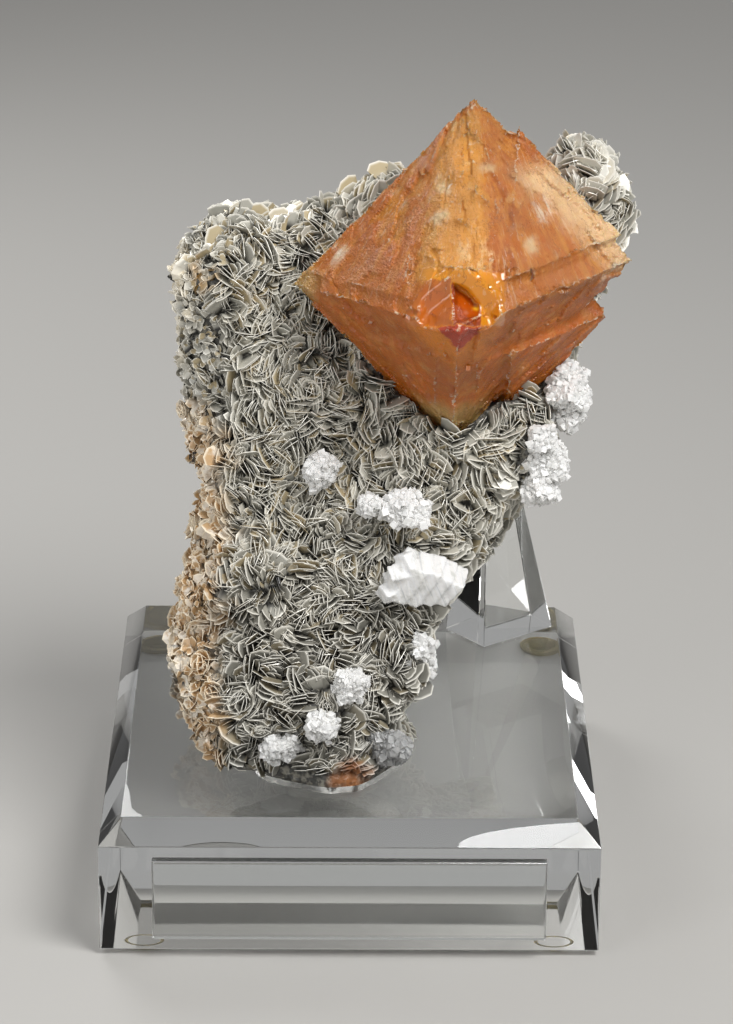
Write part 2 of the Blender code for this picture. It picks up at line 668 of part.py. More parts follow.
def feet(parts):
    """Four round bumpers that share one mesh, rounded at the rim of the sole."""
    bm = bmesh.new()
    radius = FOOT_DIAMETER / 2
    bmesh.ops.create_cone(
        bm, cap_ends=True, segments=FOOT_SIDES, radius1=radius, radius2=radius, depth=FOOT_HEIGHT
    )
    rim = [edge for edge in bm.edges if all(vert.co.z < 0 for vert in edge.verts)]
    bmesh.ops.bevel(bm, geom=rim, offset=FOOT_ROUNDING, segments=1, affect="EDGES")
    first = mesh_object("foot_front_left", bm, parts)
    made = []
    across = BLOCK_SIZE[0] / 2 - FOOT_INSET[0]
    along = BLOCK_SIZE[1] / 2 - FOOT_INSET[1]
    for depth_name, y in (("front", -along), ("back", along)):
        for side_name, x in (("left", -across), ("right", across)):
            name = f"foot_{depth_name}_{side_name}"
            foot = first if name == first.name else bpy.data.objects.new(name, first.data)
            if foot is not first:
                parts.objects.link(foot)
            foot.location = (x * MM, y * MM, FOOT_HEIGHT * MM / 2)
            made.append(foot)
    return made


def stand_on_middle(parts):
    """Carries every piece on an empty that puts the middle of their common box over the origin."""
    bpy.context.view_layer.update()
    places = [obj.matrix_world @ vert.co for obj in parts.objects for vert in obj.data.vertices]
    low = [min(place[axis] for place in places) for axis in range(3)]
    high = [max(place[axis] for place in places) for axis in range(3)]
    carrier = bpy.data.objects.new("display", None)
    carrier.location = (-(low[0] + high[0]) / 2, -(low[1] + high[1]) / 2, -low[2])
    for obj in parts.objects:
        obj.parent = carrier
    parts.objects.link(carrier)


def finish(objects, name):
    material = principled(name)
    for obj in objects:
        obj.data.materials.clear()
        obj.data.materials.append(material)


def main():
    clear_scene()
    parts = new_collection("Scheelite on muscovite")
    cutters = new_collection("Cutters")
    block = display_block(parts, cutters)
    post = support_post("support_post", parts)
    label = label_plate(parts)
    bumpers = feet(parts)
    crystal = scheelite(parts, cutters)
    socket = parallel_crystals("socket", cutters, HOLLOW_GAP)
    post_hollow = support_post("post_hollow", cutters, HOLLOW_GAP)
    whites, hollows = white_crystals(parts, cutters, socket)
    matrix = muscovite(parts, cutters, [socket, post_hollow, *hollows])
    finish([crystal], "scheelite")
    finish([matrix], "muscovite")
    finish([white for white in whites if white.name.startswith("calcite")], "calcite")
    finish([white for white in whites if white.name.startswith("quartz")], "quartz")
    finish([block, post, label], "acrylic")
    finish(bumpers, "bumper")
    stand_on_middle(parts)


main()
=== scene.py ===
"""The looks of a scheelite crystal on muscovite, in a clear acrylic display stand."""
import json
import math
import random

import bmesh
import bpy
import numpy as np
from mathutils import Matrix, Vector, noise
from mathutils.bvhtree import BVHTree

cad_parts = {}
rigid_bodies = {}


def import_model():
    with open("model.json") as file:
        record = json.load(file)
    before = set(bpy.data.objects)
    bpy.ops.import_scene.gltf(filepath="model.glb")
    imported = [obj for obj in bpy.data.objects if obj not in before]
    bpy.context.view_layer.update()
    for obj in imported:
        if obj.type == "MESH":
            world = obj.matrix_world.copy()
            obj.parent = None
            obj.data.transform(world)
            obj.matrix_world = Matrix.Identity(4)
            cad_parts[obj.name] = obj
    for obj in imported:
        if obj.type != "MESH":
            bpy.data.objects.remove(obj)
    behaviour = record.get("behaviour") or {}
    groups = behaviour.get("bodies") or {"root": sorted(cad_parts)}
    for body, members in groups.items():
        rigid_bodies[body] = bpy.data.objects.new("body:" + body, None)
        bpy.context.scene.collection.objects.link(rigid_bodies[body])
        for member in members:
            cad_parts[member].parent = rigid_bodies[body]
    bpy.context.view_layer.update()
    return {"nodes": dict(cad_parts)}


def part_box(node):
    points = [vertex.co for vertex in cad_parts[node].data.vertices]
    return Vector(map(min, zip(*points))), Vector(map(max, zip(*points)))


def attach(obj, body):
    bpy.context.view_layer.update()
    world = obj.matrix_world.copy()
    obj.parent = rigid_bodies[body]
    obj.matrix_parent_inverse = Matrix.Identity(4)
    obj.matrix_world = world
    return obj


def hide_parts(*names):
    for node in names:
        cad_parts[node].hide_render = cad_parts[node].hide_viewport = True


bl_info = {
    "name": "Scheelite on muscovite",
    "version": (1, 0, 0),
    "blender": (4, 5, 0),
    "location": "3D View > Sidebar > Specimen",
    "description": "Builds the finished surfaces of the specimen and its display stand",
    "category": "Object",
}

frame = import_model()

MM = 0.001
BODY = "root"
WHITE_CLUSTERS = [
    "calcite_upper", "calcite_right_upper", "calcite_right_lower", "calcite_left", "calcite_centre_low",
    "calcite_left_low", "calcite_foot_left", "calcite_flank", "quartz_foot",
]

# Places below are in millimetres from the middle of the acrylic block, with Z up from the feet's soles.
BLOCK_LOW, BLOCK_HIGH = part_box("display_block")
MIDDLE = Vector(((BLOCK_LOW.x + BLOCK_HIGH.x) / 2, (BLOCK_LOW.y + BLOCK_HIGH.y) / 2, 0.0))
BLOCK_TOP = BLOCK_HIGH.z / MM


def place(x, y, z):
    """A place in metres from one in millimetres."""
    return Vector((x, y, z)) * MM + MIDDLE


# The camera that took the picture: where it stood, how it was turned, and how long its lens is
CAMERA_PLACE = (-0.57, -1194.6, 566.4)
CAMERA_TURN = (-0.25, -21.16, -0.34)
CAMERA_LENS = 150.86
CAMERA_SENSOR = 36.0

# The crystal's middle, its top, its front corner and its half-widths
CRYSTAL_MIDDLE = Vector((31.1, -8.0, 182.0))
CRYSTAL_TOP = Vector((34.8, -11.0, 236.4))
CRYSTAL_CORNER = Vector((30.0, -56.0, 180.1))
CRYSTAL_HALF_WIDTHS = np.array((49.7, 48.0, 54.7))
CRYSTAL_FACE_DISTANCE = 29.0

# The rim of the recess, anticlockwise from its left end
RECESS_RIM = [
    (-44, -24), (-41, -33), (-29.5, -42), (-24, -50.5), (-9, -58), (-1.5, -58), (5, -54.5),
    (16, -37.5), (17.5, -30), (14, -12), (0, -3), (-20, -1), (-36, -8),
]
RECESS_DEPTH = 6.0
BLOCK_CHAMFER = 6.5


def linear(hex_colour):
    """An sRGB hex colour as linear red, green, blue and alpha."""
    values = [int(hex_colour[i:i + 2], 16) / 255 for i in (1, 3, 5)]
    return tuple(v / 12.92 if v <= 0.04045 else ((v + 0.055) / 1.055) ** 2.4 for v in values) + (1.0,)


def add(tree, kind, inputs=(), output=0, **settings):
    """Adds a node with its settings, sets or links its inputs, and gives back one of its outputs."""
    node = tree.nodes.new(kind)
    for name, value in settings.items():
        setattr(node, name, value)
    for key, value in dict(inputs).items():
        if isinstance(value, bpy.types.NodeSocket):
            tree.links.new(value, node.inputs[key])
        else:
            is_colour = isinstance(value, str) and value.startswith("#")
            node.inputs[key].default_value = linear(value) if is_colour else value
    return node.outputs[output] if node.outputs else None


# Meshes

def link(obj):
    bpy.context.scene.collection.objects.link(obj)
    return obj


def object_of(name, bm):
    mesh = bpy.data.meshes.new(name)
    bm.to_mesh(mesh)
    bm.free()
    return link(bpy.data.objects.new(name, mesh))


def merged_copy(node, name, flat_faces=False):
    """A copy of a solid of the frame, its loose triangles merged, and its flat faces made whole again."""
    bm = bmesh.new()
    bm.from_mesh(frame["nodes"][node].data)
    bmesh.ops.remove_doubles(bm, verts=bm.verts, dist=1e-6)
    bmesh.ops.dissolve_degenerate(bm, edges=bm.edges, dist=1e-6)
    if flat_faces:
        bmesh.ops.dissolve_limit(bm, angle_limit=math.radians(1), verts=bm.verts, edges=bm.edges)
    return object_of(name, bm)


def evaluate(obj):
    """Turns an object's modifiers into a plain mesh."""
    depsgraph = bpy.context.evaluated_depsgraph_get()
    mesh = bpy.data.meshes.new_from_object(obj.evaluated_get(depsgraph))
    obj.modifiers.clear()
    old = obj.data
    obj.data = mesh
    bpy.data.meshes.remove(old)
    mesh.name = obj.name
    return obj


def remesh(obj, size, smoothing=0):
    skin = obj.modifiers.new("skin", "REMESH")
    skin.mode = "VOXEL"
    skin.voxel_size = size
    if smoothing:
        soften = obj.modifiers.new("soften", "SMOOTH")
        soften.iterations = smoothing
    return evaluate(obj)


def read_points(mesh):
    """Vertex places and normals in millimetres from the block's middle."""
    count = len(mesh.vertices)
    places = np.empty(count * 3, np.float32)
    mesh.vertices.foreach_get("co", places)
    normals = np.empty(count * 3, np.float32)
    mesh.vertex_normals.foreach_get("vector", normals)
    places = (places.reshape(-1, 3) - np.array(MIDDLE)) / MM
    return places.astype(float), normals.reshape(-1, 3).astype(float)


def write_points(mesh, places):
    metres = places * MM + np.array(MIDDLE)
    mesh.vertices.foreach_set("co", metres.astype(np.float32).ravel())
    mesh.update()


def write_attribute(mesh, name, values):
    attribute = mesh.attributes.new(name, "FLOAT", "POINT")
    attribute.data.foreach_set("value", np.asarray(values, np.float32))


def smoothstep(low, high, values):
    share = np.clip((values - low) / (high - low), 0.0, 1.0)
    return share * share * (3 - 2 * share)


def noise_at(places, frequency, shift=(0, 0, 0)):
    """A smooth noise from about -1 to 1 at each place, with its frequency per millimetre."""
    return np.array([noise.noise(Vector(spot) * frequency + Vector(shift)) for spot in places])


def crystal_depth(places):
    """How far inside the main crystal each place is, in millimetres, below zero outside."""
    reach = (np.abs(places - np.array(CRYSTAL_MIDDLE)) / CRYSTAL_HALF_WIDTHS).sum(-1)
    return (1 - reach) * CRYSTAL_FACE_DISTANCE


def tree_of(nodes):
    """A search tree over some of the frame's solids, in metres."""
    verts, faces = [], []
    for node in nodes:
        mesh = frame["nodes"][node].data
        start = len(verts)
        verts.extend(vertex.co.copy() for vertex in mesh.vertices)
        faces.extend([start + index for index in face.vertices] for face in mesh.polygons)
    return BVHTree.FromPolygons(verts, faces)


def dress(obj, slot_name, materials, *nodes, smooth_below=None):
    """Gives a finished piece its materials and its body, and hides the frame's solids that it stands for."""
    obj.data.materials.clear()
    for material in materials:
        obj.data.materials.append(material)
    if smooth_below is not None:
        obj.data.shade_smooth()
        obj.data.set_sharp_from_angle(angle=math.radians(smooth_below))
    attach(obj, BODY)
    if nodes:
        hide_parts(*nodes)
    return obj


# Parts of materials

def new_material(name):
    material = bpy.data.materials.new(name)
    material.use_nodes = True
    tree = material.node_tree
    return material, tree, tree.nodes["Principled BSDF"]


def object_mm(tree):
    """Object coordinates in millimetres from the block's middle."""
    coordinates = add(tree, "ShaderNodeTexCoord", output="Object")
    centred = add(tree, "ShaderNodeVectorMath", {0: coordinates, 1: MIDDLE}, operation="SUBTRACT")
    return add(tree, "ShaderNodeVectorMath", {0: centred, "Scale": 1 / MM}, operation="SCALE")


def ragged(tree, spot, size_mm, reach_mm):
    """The spot moved about by a noise, so that the border of a patch is ragged."""
    inputs = {"Vector": spot, "Scale": 1 / size_mm, "Detail": 3.0}
    noise_colour = add(tree, "ShaderNodeTexNoise", inputs, "Color")
    centred = add(tree, "ShaderNodeVectorMath", {0: noise_colour, 1: (0.5, 0.5, 0.5)}, operation="SUBTRACT")
    reach = (reach_mm, reach_mm, reach_mm)
    return add(tree, "ShaderNodeVectorMath", {0: centred, 1: reach, 2: spot}, operation="MULTIPLY_ADD")


def eased(tree, value, low, high):
    """0 where a value is under low, 1 where it is over high, and smooth between them."""
    inputs = {"Value": value, 1: low, 2: high}
    return add(tree, "ShaderNodeMapRange", inputs, interpolation_type="SMOOTHSTEP")


def patch(tree, spot, middle, radius, softness):
    """1 within a radius of a middle and 0 past its softness, in millimetres."""
    distance = add(tree, "ShaderNodeVectorMath", {0: spot, 1: middle}, "Value", operation="DISTANCE")
    inputs = {"Value": distance, 1: radius, 2: radius + softness, 3: 1.0, 4: 0.0}
    return add(tree, "ShaderNodeMapRange", inputs, interpolation_type="SMOOTHSTEP")


def beyond(tree, spot, direction, start, end):
    """0 before the start and 1 past the end, measured along a direction in millimetres."""
    along = add(tree, "ShaderNodeVectorMath", {0: spot, 1: direction}, "Value", operation="DOT_PRODUCT")
    return eased(tree, along, start, end)


def patchy(tree, spot, size_mm, low, high, detail=4.0, roughness=0.55):
    """Patches of a size in millimetres: 0 where a noise is under low, 1 where it is over high."""
    inputs = {"Vector": spot, "Scale": 1 / size_mm, "Detail": detail, "Roughness": roughness}
    return eased(tree, add(tree, "ShaderNodeTexNoise", inputs), low, high)


def veins(tree, spot, size_mm, width):
    """1 along the thin lines where a noise of a size in millimetres crosses its middle value."""
    inputs = {"Vector": spot, "Scale": 1 / size_mm, "Detail": 4.0, "Roughness": 0.6}
    height = add(tree, "ShaderNodeTexNoise", inputs)
    off_middle = add(tree, "ShaderNodeMath", {0: height, 1: 0.5}, operation="SUBTRACT")
    distance = add(tree, "ShaderNodeMath", {0: off_middle}, operation="ABSOLUTE")
    return add(tree, "ShaderNodeMapRange", {"Value": distance, 1: 0.0, 2: width, 3: 1.0, 4: 0.0})


def part_of(tree, name, low, high):
    """How far an attribute of the mesh is on its way from low to high."""
    return eased(tree, add(tree, "ShaderNodeAttribute", output="Fac", attribute_name=name), low, high)


def both(tree, first, second):
    """Where two masks overlap."""
    return add(tree, "ShaderNodeMath", {0: first, 1: second}, operation="MULTIPLY")


def painted(tree, base, *layers):
    """Paints layers over a base colour. Each is a colour, its strength, and the masks that limit it."""
    colour = base
    for paint, strength, *masks in layers:
        share = strength
        for mask in masks:
            share = both(tree, share, mask)
        colour = add(tree, "ShaderNodeMix", {0: share, 6: colour, 7: paint}, 2, data_type="RGBA")
    return colour


def set_shader(tree, shader, values):
    """Sets or links the inputs of a material's shader by their names."""
    for name, value in values.items():
        if isinstance(value, bpy.types.NodeSocket):
            tree.links.new(value, shader.inputs[name])
        else:
            is_colour = isinstance(value, str)
            shader.inputs[name].default_value = linear(value) if is_colour else value


# Settings

def length(name, description, size_mm):
    """A setting that is a length."""
    return bpy.props.FloatProperty(
        name=name, description=description, subtype="DISTANCE", default=size_mm * MM)


def power(name, description, watts):
    """A setting that is the power of a light."""
    return bpy.props.FloatProperty(name=name, description=description, subtype="POWER", default=watts)


def tint(name, description, hex_colour):
    """A setting that is a colour."""
    return bpy.props.FloatVectorProperty(
        name=name, description=description, subtype="COLOR", size=4, default=linear(hex_colour))


class StudioSettings(bpy.types.PropertyGroup):
    floor_colour: tint("Floor", "Colour of the studio floor", "#B2B0AC")
    key_power: power("Key light", "Power of the large light above, to the right", 10.6)
    fill_power: power("Fill light", "Power of the light at the left of the camera", 3.4)
    rim_power: power("Rim light", "Power of the light behind, at the left", 2.2)
    surround: bpy.props.FloatProperty(
        name="Surround", description="Strength of the even light from all round", default=0.36)


class MicaSettings(bpy.types.PropertyGroup):
    grain: length("Core grain", "Grain of the core's skin", 1.8)
    depth: length("Core depth", "How deep the core lies under the solid's skin", 3.4)
    fan_spacing: length("Fan spacing", "Least distance of two fans", 2.5)
    rose_spacing: length("Rose spacing", "Least distance of two roses", 9.5)
    flake_spacing: length("Flake spacing", "Least distance of two groups of flakes", 2.5)
    plate_width: length("Plate width", "Half the width of a plate", 3.5)
    plate_height: length("Plate height", "How far a plate stands out", 4.3)
    plate_thickness: length("Plate thickness", "Thickness of a plate at its root", 0.17)
    seed: bpy.props.IntProperty(name="Seed", description="Seed of the plates", default=7)


class CrystalSettings(bpy.types.PropertyGroup):
    grain: length("Grain", "Grain of the crystal's skin", 0.6)
    ledge: length("Ledges", "Height of the growth ledges", 1.3)
    striation: length("Striations", "Depth of the fine striations", 0.24)
    wear: length("Wear", "Depth of the chips on the edges", 0.9)
    colour: tint("Colour", "Main colour of the scheelite", "#CC7310")


class WhiteSettings(bpy.types.PropertyGroup):
    sugar: length("Sugar", "Edge of the small crystals", 1.8)
    spacing: length("Spacing", "Least distance of two small crystals", 1.2)
    seed: bpy.props.IntProperty(name="Seed", description="Seed of the small crystals", default=5)
    colour: tint("Colour", "Colour of the white crystals", "#FBFAF7")


class StandSettings(bpy.types.PropertyGroup):
    edge: length("Edge", "Width of the eased edges", 0.3)


# The stage

class SPECIMEN_OT_stage(bpy.types.Operator):
    """Adds the floor, the lights and the camera"""
    bl_idname = "specimen.stage"
    bl_label = "Stage"

    def execute(self, context):
        settings = context.scene.specimen_studio
        make_camera(context.scene)
        make_floor(settings)
        make_light("key", (430, -480, 900), (20, -10, 130), 560, settings.key_power)
        make_light("fill", (-700, -800, 420), (10, -20, 120), 700, settings.fill_power)
        make_light("rim", (-380, 620, 560), (0, 0, 130), 420, settings.rim_power)
        world = bpy.data.worlds.new("even surround")
        world.use_nodes = True
        background = world.node_tree.nodes["Background"]
        background.inputs["Color"].default_value = linear("#F6F6F6")
        background.inputs["Strength"].default_value = settings.surround
        context.scene.world = world
        context.scene.view_settings.view_transform = "Standard"
        return {"FINISHED"}


def make_camera(scene):
    camera = bpy.data.cameras.new("camera")
    camera.lens = CAMERA_LENS
    camera.sensor_width = CAMERA_SENSOR
    camera.clip_start = 0.05
    camera.clip_end = 20.0
    obj = link(bpy.data.objects.new("camera", camera))
    yaw, pitch, roll = (math.radians(angle) for angle in CAMERA_TURN)
    turn = Matrix.Rotation(yaw, 4, "Z") @ Matrix.Rotation(pitch, 4, "X") @ Matrix.Rotation(roll, 4, "Y")
    obj.matrix_world = Matrix.Translation(place(*CAMERA_PLACE)) @ turn @ Matrix.Rotation(math.pi / 2, 4, "X")
    scene.camera = obj


def make_light(name, spot, target, size_mm, power):
    light = bpy.data.lights.new(name, "AREA")
    light.shape = "DISK"
    light.size = size_mm * MM
    light.energy = power
    obj = link(bpy.data.objects.new(name, light))
    obj.location = place(*spot)
    obj.rotation_mode = "QUATERNION"
    obj.rotation_quaternion = (place(*target) - place(*spot)).to_track_quat("-Z", "Y")


def make_floor(settings):
    bm = bmesh.new()
    bmesh.ops.create_grid(bm, x_segments=1, y_segments=1, size=6.0)
    floor = object_of("floor", bm)
    material, tree, shader = new_material("painted studio floor")
    set_shader(tree, shader, {"Base Color": tuple(settings.floor_colour), "Roughness": 0.6})
    floor.data.materials.append(material)


# The mica

PLATE_REACH = (-1.0, -0.45, 0.45, 1.0)
PLATE_RISE = (0.74, 1.0, 0.97, 0.68)
PLATE_COLUMNS = len(PLATE_REACH)
PLATE_VERTS = PLATE_COLUMNS * 4
PLATE_ROOT = -1.8 * MM
FAN_KINDS = 24
ROSE_KINDS = 5
FLAKE_KINDS = 6
MICA_PIECES = 6
# In millimetres, but for the share in HIDDEN_FACING: where the crystal hides the mica, how much room plates leave
# round other pieces and above the block, how deep a plate may sink in the crystal, how far above the block a plate
# has to reach, and how close to the block it may come
HIDDEN_WITHIN = 3.5
HIDDEN_FACING = 0.85
ROOM_BESIDE = 0.8
ROOM_ABOVE_BLOCK = 2.5
PLATE_SINK = 0.7
LEAST_REACH_ABOVE_BLOCK = 1.0
BLOCK_CLEARANCE = 0.25
# Left of here the mica is crumbly flakes
FLAKY_FROM = (-37.0, -42.0)


def plate_points(chance, width, tall, thickness, bend, curl):
    """A curved mica plate that stands on its root: its front's root and rim, then its back's."""
    rim = [
        (width * reach * chance.uniform(0.9, 1.06), tall * rise * chance.uniform(0.88, 1.06))
        for reach, rise in zip(PLATE_REACH, PLATE_RISE)
    ]
    points = []
    for side in (-0.5, 0.5):
        for (x, _), reach in zip(rim, PLATE_REACH):
            points.append(Vector((x * 0.6, side * thickness + bend * reach * reach * 0.4, PLATE_ROOT)))
        for (x, z), reach in zip(rim, PLATE_REACH):
            points.append(Vector((x, side * thickness * 0.75 + bend * reach * reach + curl, z)))
    return points


def plate_faces(start):
    """The quads of one plate."""
    front_root, front_rim, back_root, back_rim = (start + row * PLATE_COLUMNS for row in range(4))
    faces = []
    for c in range(PLATE_COLUMNS - 1):
        faces.append((front_root + c, front_root + c + 1, front_rim + c + 1, front_rim + c))
        faces.append((back_root + c + 1, back_root + c, back_rim + c, back_rim + c + 1))
        faces.append((front_rim + c, front_rim + c + 1, back_rim + c + 1, back_rim + c))
        faces.append((front_root + c + 1, front_root + c, back_root + c, back_root + c + 1))
    last = PLATE_COLUMNS - 1
    faces.append((front_root, front_rim, back_rim, back_root))
    faces.append((front_rim + last, front_root + last, back_root + last, back_rim + last))
    return faces


def turned(points, lean, spin, shift):
    """Points moved along Y, then leaned outwards along Y and spun about Z, in degrees."""
    turn = Matrix.Rotation(math.radians(spin), 3, "Z") @ Matrix.Rotation(math.radians(-lean), 3, "X")
    across = Matrix.Rotation(math.radians(spin), 3, "Z") @ Vector((0, shift, 0))
    return [turn @ point + across for point in points]


def fan_plates(chance, settings):
    """Plates that open like the pages of a book, none quite in line with the next."""
    count = chance.choice((3, 4, 5, 6, 7))
    opening = chance.uniform(3, 12)
    gap = chance.uniform(0.35, 0.8) * MM
    bend = chance.uniform(-0.2, 0.2) * MM
    plates = []
    for leaf in range(count):
        from_middle = leaf - (count - 1) / 2
        width = settings.plate_width * chance.uniform(0.4, 1.2)
        tall = settings.plate_height * chance.uniform(0.6, 1.3)
        slide = Vector((chance.uniform(-1.2, 1.2) * MM, 0, 0))
        points = plate_points(chance, width, tall, settings.plate_thickness, bend, 0.0)
        points = [point + slide for point in points]
        lean = opening * from_middle + chance.uniform(-9, 9)
        plates.append(turned(points, lean, chance.uniform(-14, 14), gap * from_middle))
    return plates


def rose_plates(chance, settings):
    """Round plates set in rings, steep in the middle and flat outside."""
    plates = []
    for count, lean, shift in ((3, 14, 0.3), (5, 36, 0.8), (6, 60, 1.3)):
        for number in range(count):
            width = settings.plate_width * chance.uniform(0.75, 1.0)
            tall = settings.plate_height * chance.uniform(0.8, 1.05)
            points = plate_points(chance, width, tall, settings.plate_thickness, -0.8 * MM, -0.3 * MM)
            spin = 360 * (number + chance.uniform(-0.3, 0.3)) / count
            plates.append(turned(points, lean + chance.uniform(-8, 8), spin, shift * MM))
    return plates


def flake_plates(chance, settings):
    """A few broken flakes that lie almost flat."""
    plates = []
    for _ in range(4):
        width = settings.plate_width * chance.uniform(0.25, 0.65)
        tall = settings.plate_height * chance.uniform(0.35, 0.85)
        bend = chance.uniform(-0.5, 0.5) * MM
        points = plate_points(chance, width, tall, settings.plate_thickness, bend, 0.0)
        lean = chance.uniform(25, 78)
        spin = chance.uniform(0, 360)
        plates.append(turned(points, lean, spin, chance.uniform(-1, 1) * MM))
    return plates


def plate_collection(name, kinds, make, settings):
    """Prototypes of one arrangement of plates, in a collection that isn't part of the scene."""
    chance = random.Random(f"{name}{settings.seed}")
    collection = bpy.data.collections.new(name)
    for kind in range(kinds):
        verts, faces = [], []
        for points in make(chance, settings):
            faces.extend(plate_faces(len(verts)))
            verts.extend(points)
        mesh = bpy.data.meshes.new(f"{name}_{kind}")
        mesh.from_pydata(verts, [], faces)
        collection.objects.link(bpy.data.objects.new(f"{name}_{kind}", mesh))
    return collection


def discard(collection):
    for obj in list(collection.objects):
        bpy.data.objects.remove(obj)
    bpy.data.collections.remove(collection)


def scatter_tree(name):
    """Geometry Nodes that stand a collection's objects on a skin, where an attribute of the skin says."""
    tree = bpy.data.node_groups.new(name, "GeometryNodeTree")
    for label, kind in (
        ("Skin", "NodeSocketGeometry"), ("Kinds", "NodeSocketCollection"), ("Where", "NodeSocketString"),
        ("Spacing", "NodeSocketFloat"), ("Least size", "NodeSocketFloat"), ("Most size", "NodeSocketFloat"),
        ("Tilt", "NodeSocketFloat"), ("Seed", "NodeSocketInt"), ("Finish", "NodeSocketMaterial"),
    ):
        tree.interface.new_socket(label, in_out="INPUT", socket_type=kind)
    tree.interface.new_socket("Skin", in_out="OUTPUT", socket_type="NodeSocketGeometry")
    given = add(tree, "NodeGroupInput").node.outputs
    where = add(tree, "GeometryNodeInputNamedAttribute", {"Name": given["Where"]}, data_type="FLOAT")
    points = add(tree, "GeometryNodeDistributePointsOnFaces", {
        "Mesh": given["Skin"], "Distance Min": given["Spacing"], "Density Max": 4e6, "Density Factor": where,
        "Seed": given["Seed"],
    }, distribute_method="POISSON").node.outputs
    back = add(tree, "ShaderNodeMath", {0: given["Tilt"], 1: -1.0}, operation="MULTIPLY")
    low = add(tree, "ShaderNodeCombineXYZ", {"X": back, "Y": back, "Z": 0.0})
    high = add(tree, "ShaderNodeCombineXYZ", {"X": given["Tilt"], "Y": given["Tilt"], "Z": math.tau})
    inputs = {0: low, 1: high, "Seed": given["Seed"]}
    turn = add(tree, "FunctionNodeRandomValue", inputs, data_type="FLOAT_VECTOR")
    turn = add(tree, "FunctionNodeEulerToRotation", {0: turn})
    inputs = {0: points["Rotation"], 1: turn}
    rotation = add(tree, "FunctionNodeRotateRotation", inputs, rotation_space="LOCAL")
    size = add(tree, "FunctionNodeRandomValue", {
        2: given["Least size"], 3: given["Most size"], "Seed": given["Seed"],
    }, 1, data_type="FLOAT")
    room = add(tree, "GeometryNodeInputNamedAttribute", {"Name": "room"}, data_type="FLOAT")
    size = add(tree, "ShaderNodeMath", {0: size, 1: room}, operation="MULTIPLY")
    pick = add(tree, "FunctionNodeRandomValue", {4: 0, 5: 999, "Seed": given["Seed"]}, 2, data_type="INT")
    kinds = add(tree, "GeometryNodeCollectionInfo", {
        "Collection": given["Kinds"], "Separate Children": True, "Reset Children": True,
    })
    standing = add(tree, "GeometryNodeInstanceOnPoints", {
        "Points": points["Points"], "Instance": kinds, "Pick Instance": True, "Instance Index": pick,
        "Rotation": rotation, "Scale": size,
    })
    real = add(tree, "GeometryNodeRealizeInstances", {0: standing})
    finished = add(tree, "GeometryNodeSetMaterial", {"Geometry": real, "Material": given["Finish"]})
    add(tree, "NodeGroupOutput", {0: finished})
    return tree


def scattered(name, skin, tree, values):
    """The mesh that the tree makes on a copy of a skin, with its inputs set by their names."""
    obj = link(bpy.data.objects.new(name, skin.data.copy()))
    modifier = obj.modifiers.new("scatter", "NODES")
    modifier.node_group = tree
    sockets = {item.name: item.identifier for item in tree.interface.items_tree if item.in_out == "INPUT"}
    for label, value in values.items():
        modifier[sockets[label]] = value
    return evaluate(obj)


def mica_core(settings):
    """The skin that the plates stand on: the solid's form, drawn in where plates cover it."""
    core = remesh(merged_copy("muscovite_matrix", "mica_core"), settings.grain, smoothing=4)
    places, normals = read_points(core.data)
    crystal = tree_of(["scheelite_crystal"])
    others = tree_of([*WHITE_CLUSTERS, "calcite_large", "support_post"])
    apart = np.empty(len(places))
    facing = np.empty(len(places))
    beside = np.empty(len(places))
    for index, (spot, normal) in enumerate(zip(places, normals)):
        here = place(*spot)
        near, _, _, distance = crystal.find_nearest(here)
        apart[index] = distance / MM
        facing[index] = (near - here).normalized().dot(Vector(normal))
        beside[index] = others.find_nearest(here)[3] / MM
    height = places[:, 2] - BLOCK_TOP
    free = smoothstep(0.5, 7.0, height) * smoothstep(0.5, 5.0, apart) * smoothstep(0.2, 3.0, beside)
    write_points(core.data, places - normals * (settings.depth / MM * free)[:, None])
    hidden = (apart < HIDDEN_WITHIN) & (facing > HIDDEN_FACING)
    grow = (height > ROOM_ABOVE_BLOCK) & ~hidden & (apart > ROOM_BESIDE) & (beside > ROOM_BESIDE)
    flaky = smoothstep(*FLAKY_FROM, places[:, 0] + 10 * noise_at(places, 0.09))
    rosy = smoothstep(0.05, 0.25, noise_at(places, 0.05, shift=(9, 4, 2)))
    write_attribute(core.data, "fans", grow * (1 - flaky))
    write_attribute(core.data, "flakes", grow * flaky)
    write_attribute(core.data, "roses", grow * rosy)
    tight = np.where(facing > 0.2, smoothstep(-3.0, 7.0, apart), 1.0)
    write_attribute(core.data, "room", 0.35 + 0.65 * tight * smoothstep(-1.0, 4.0, beside))
    return core


def loose_plates(meshes):
    """The corners of every scattered plate, but those of plates in the crystal or the block."""
    plates = np.concatenate([read_points(mesh)[0].reshape(-1, PLATE_VERTS, 3) for mesh in meshes])
    clear = crystal_depth(plates).max(axis=1) < PLATE_SINK
    above = plates[..., 2].max(axis=1) > BLOCK_TOP + LEAST_REACH_ABOVE_BLOCK
    plates = plates[clear & above]
    plates[..., 2] = np.maximum(plates[..., 2], BLOCK_TOP + BLOCK_CLEARANCE)
    return plates[np.argsort(plates[..., 2].mean(axis=1), kind="stable")]


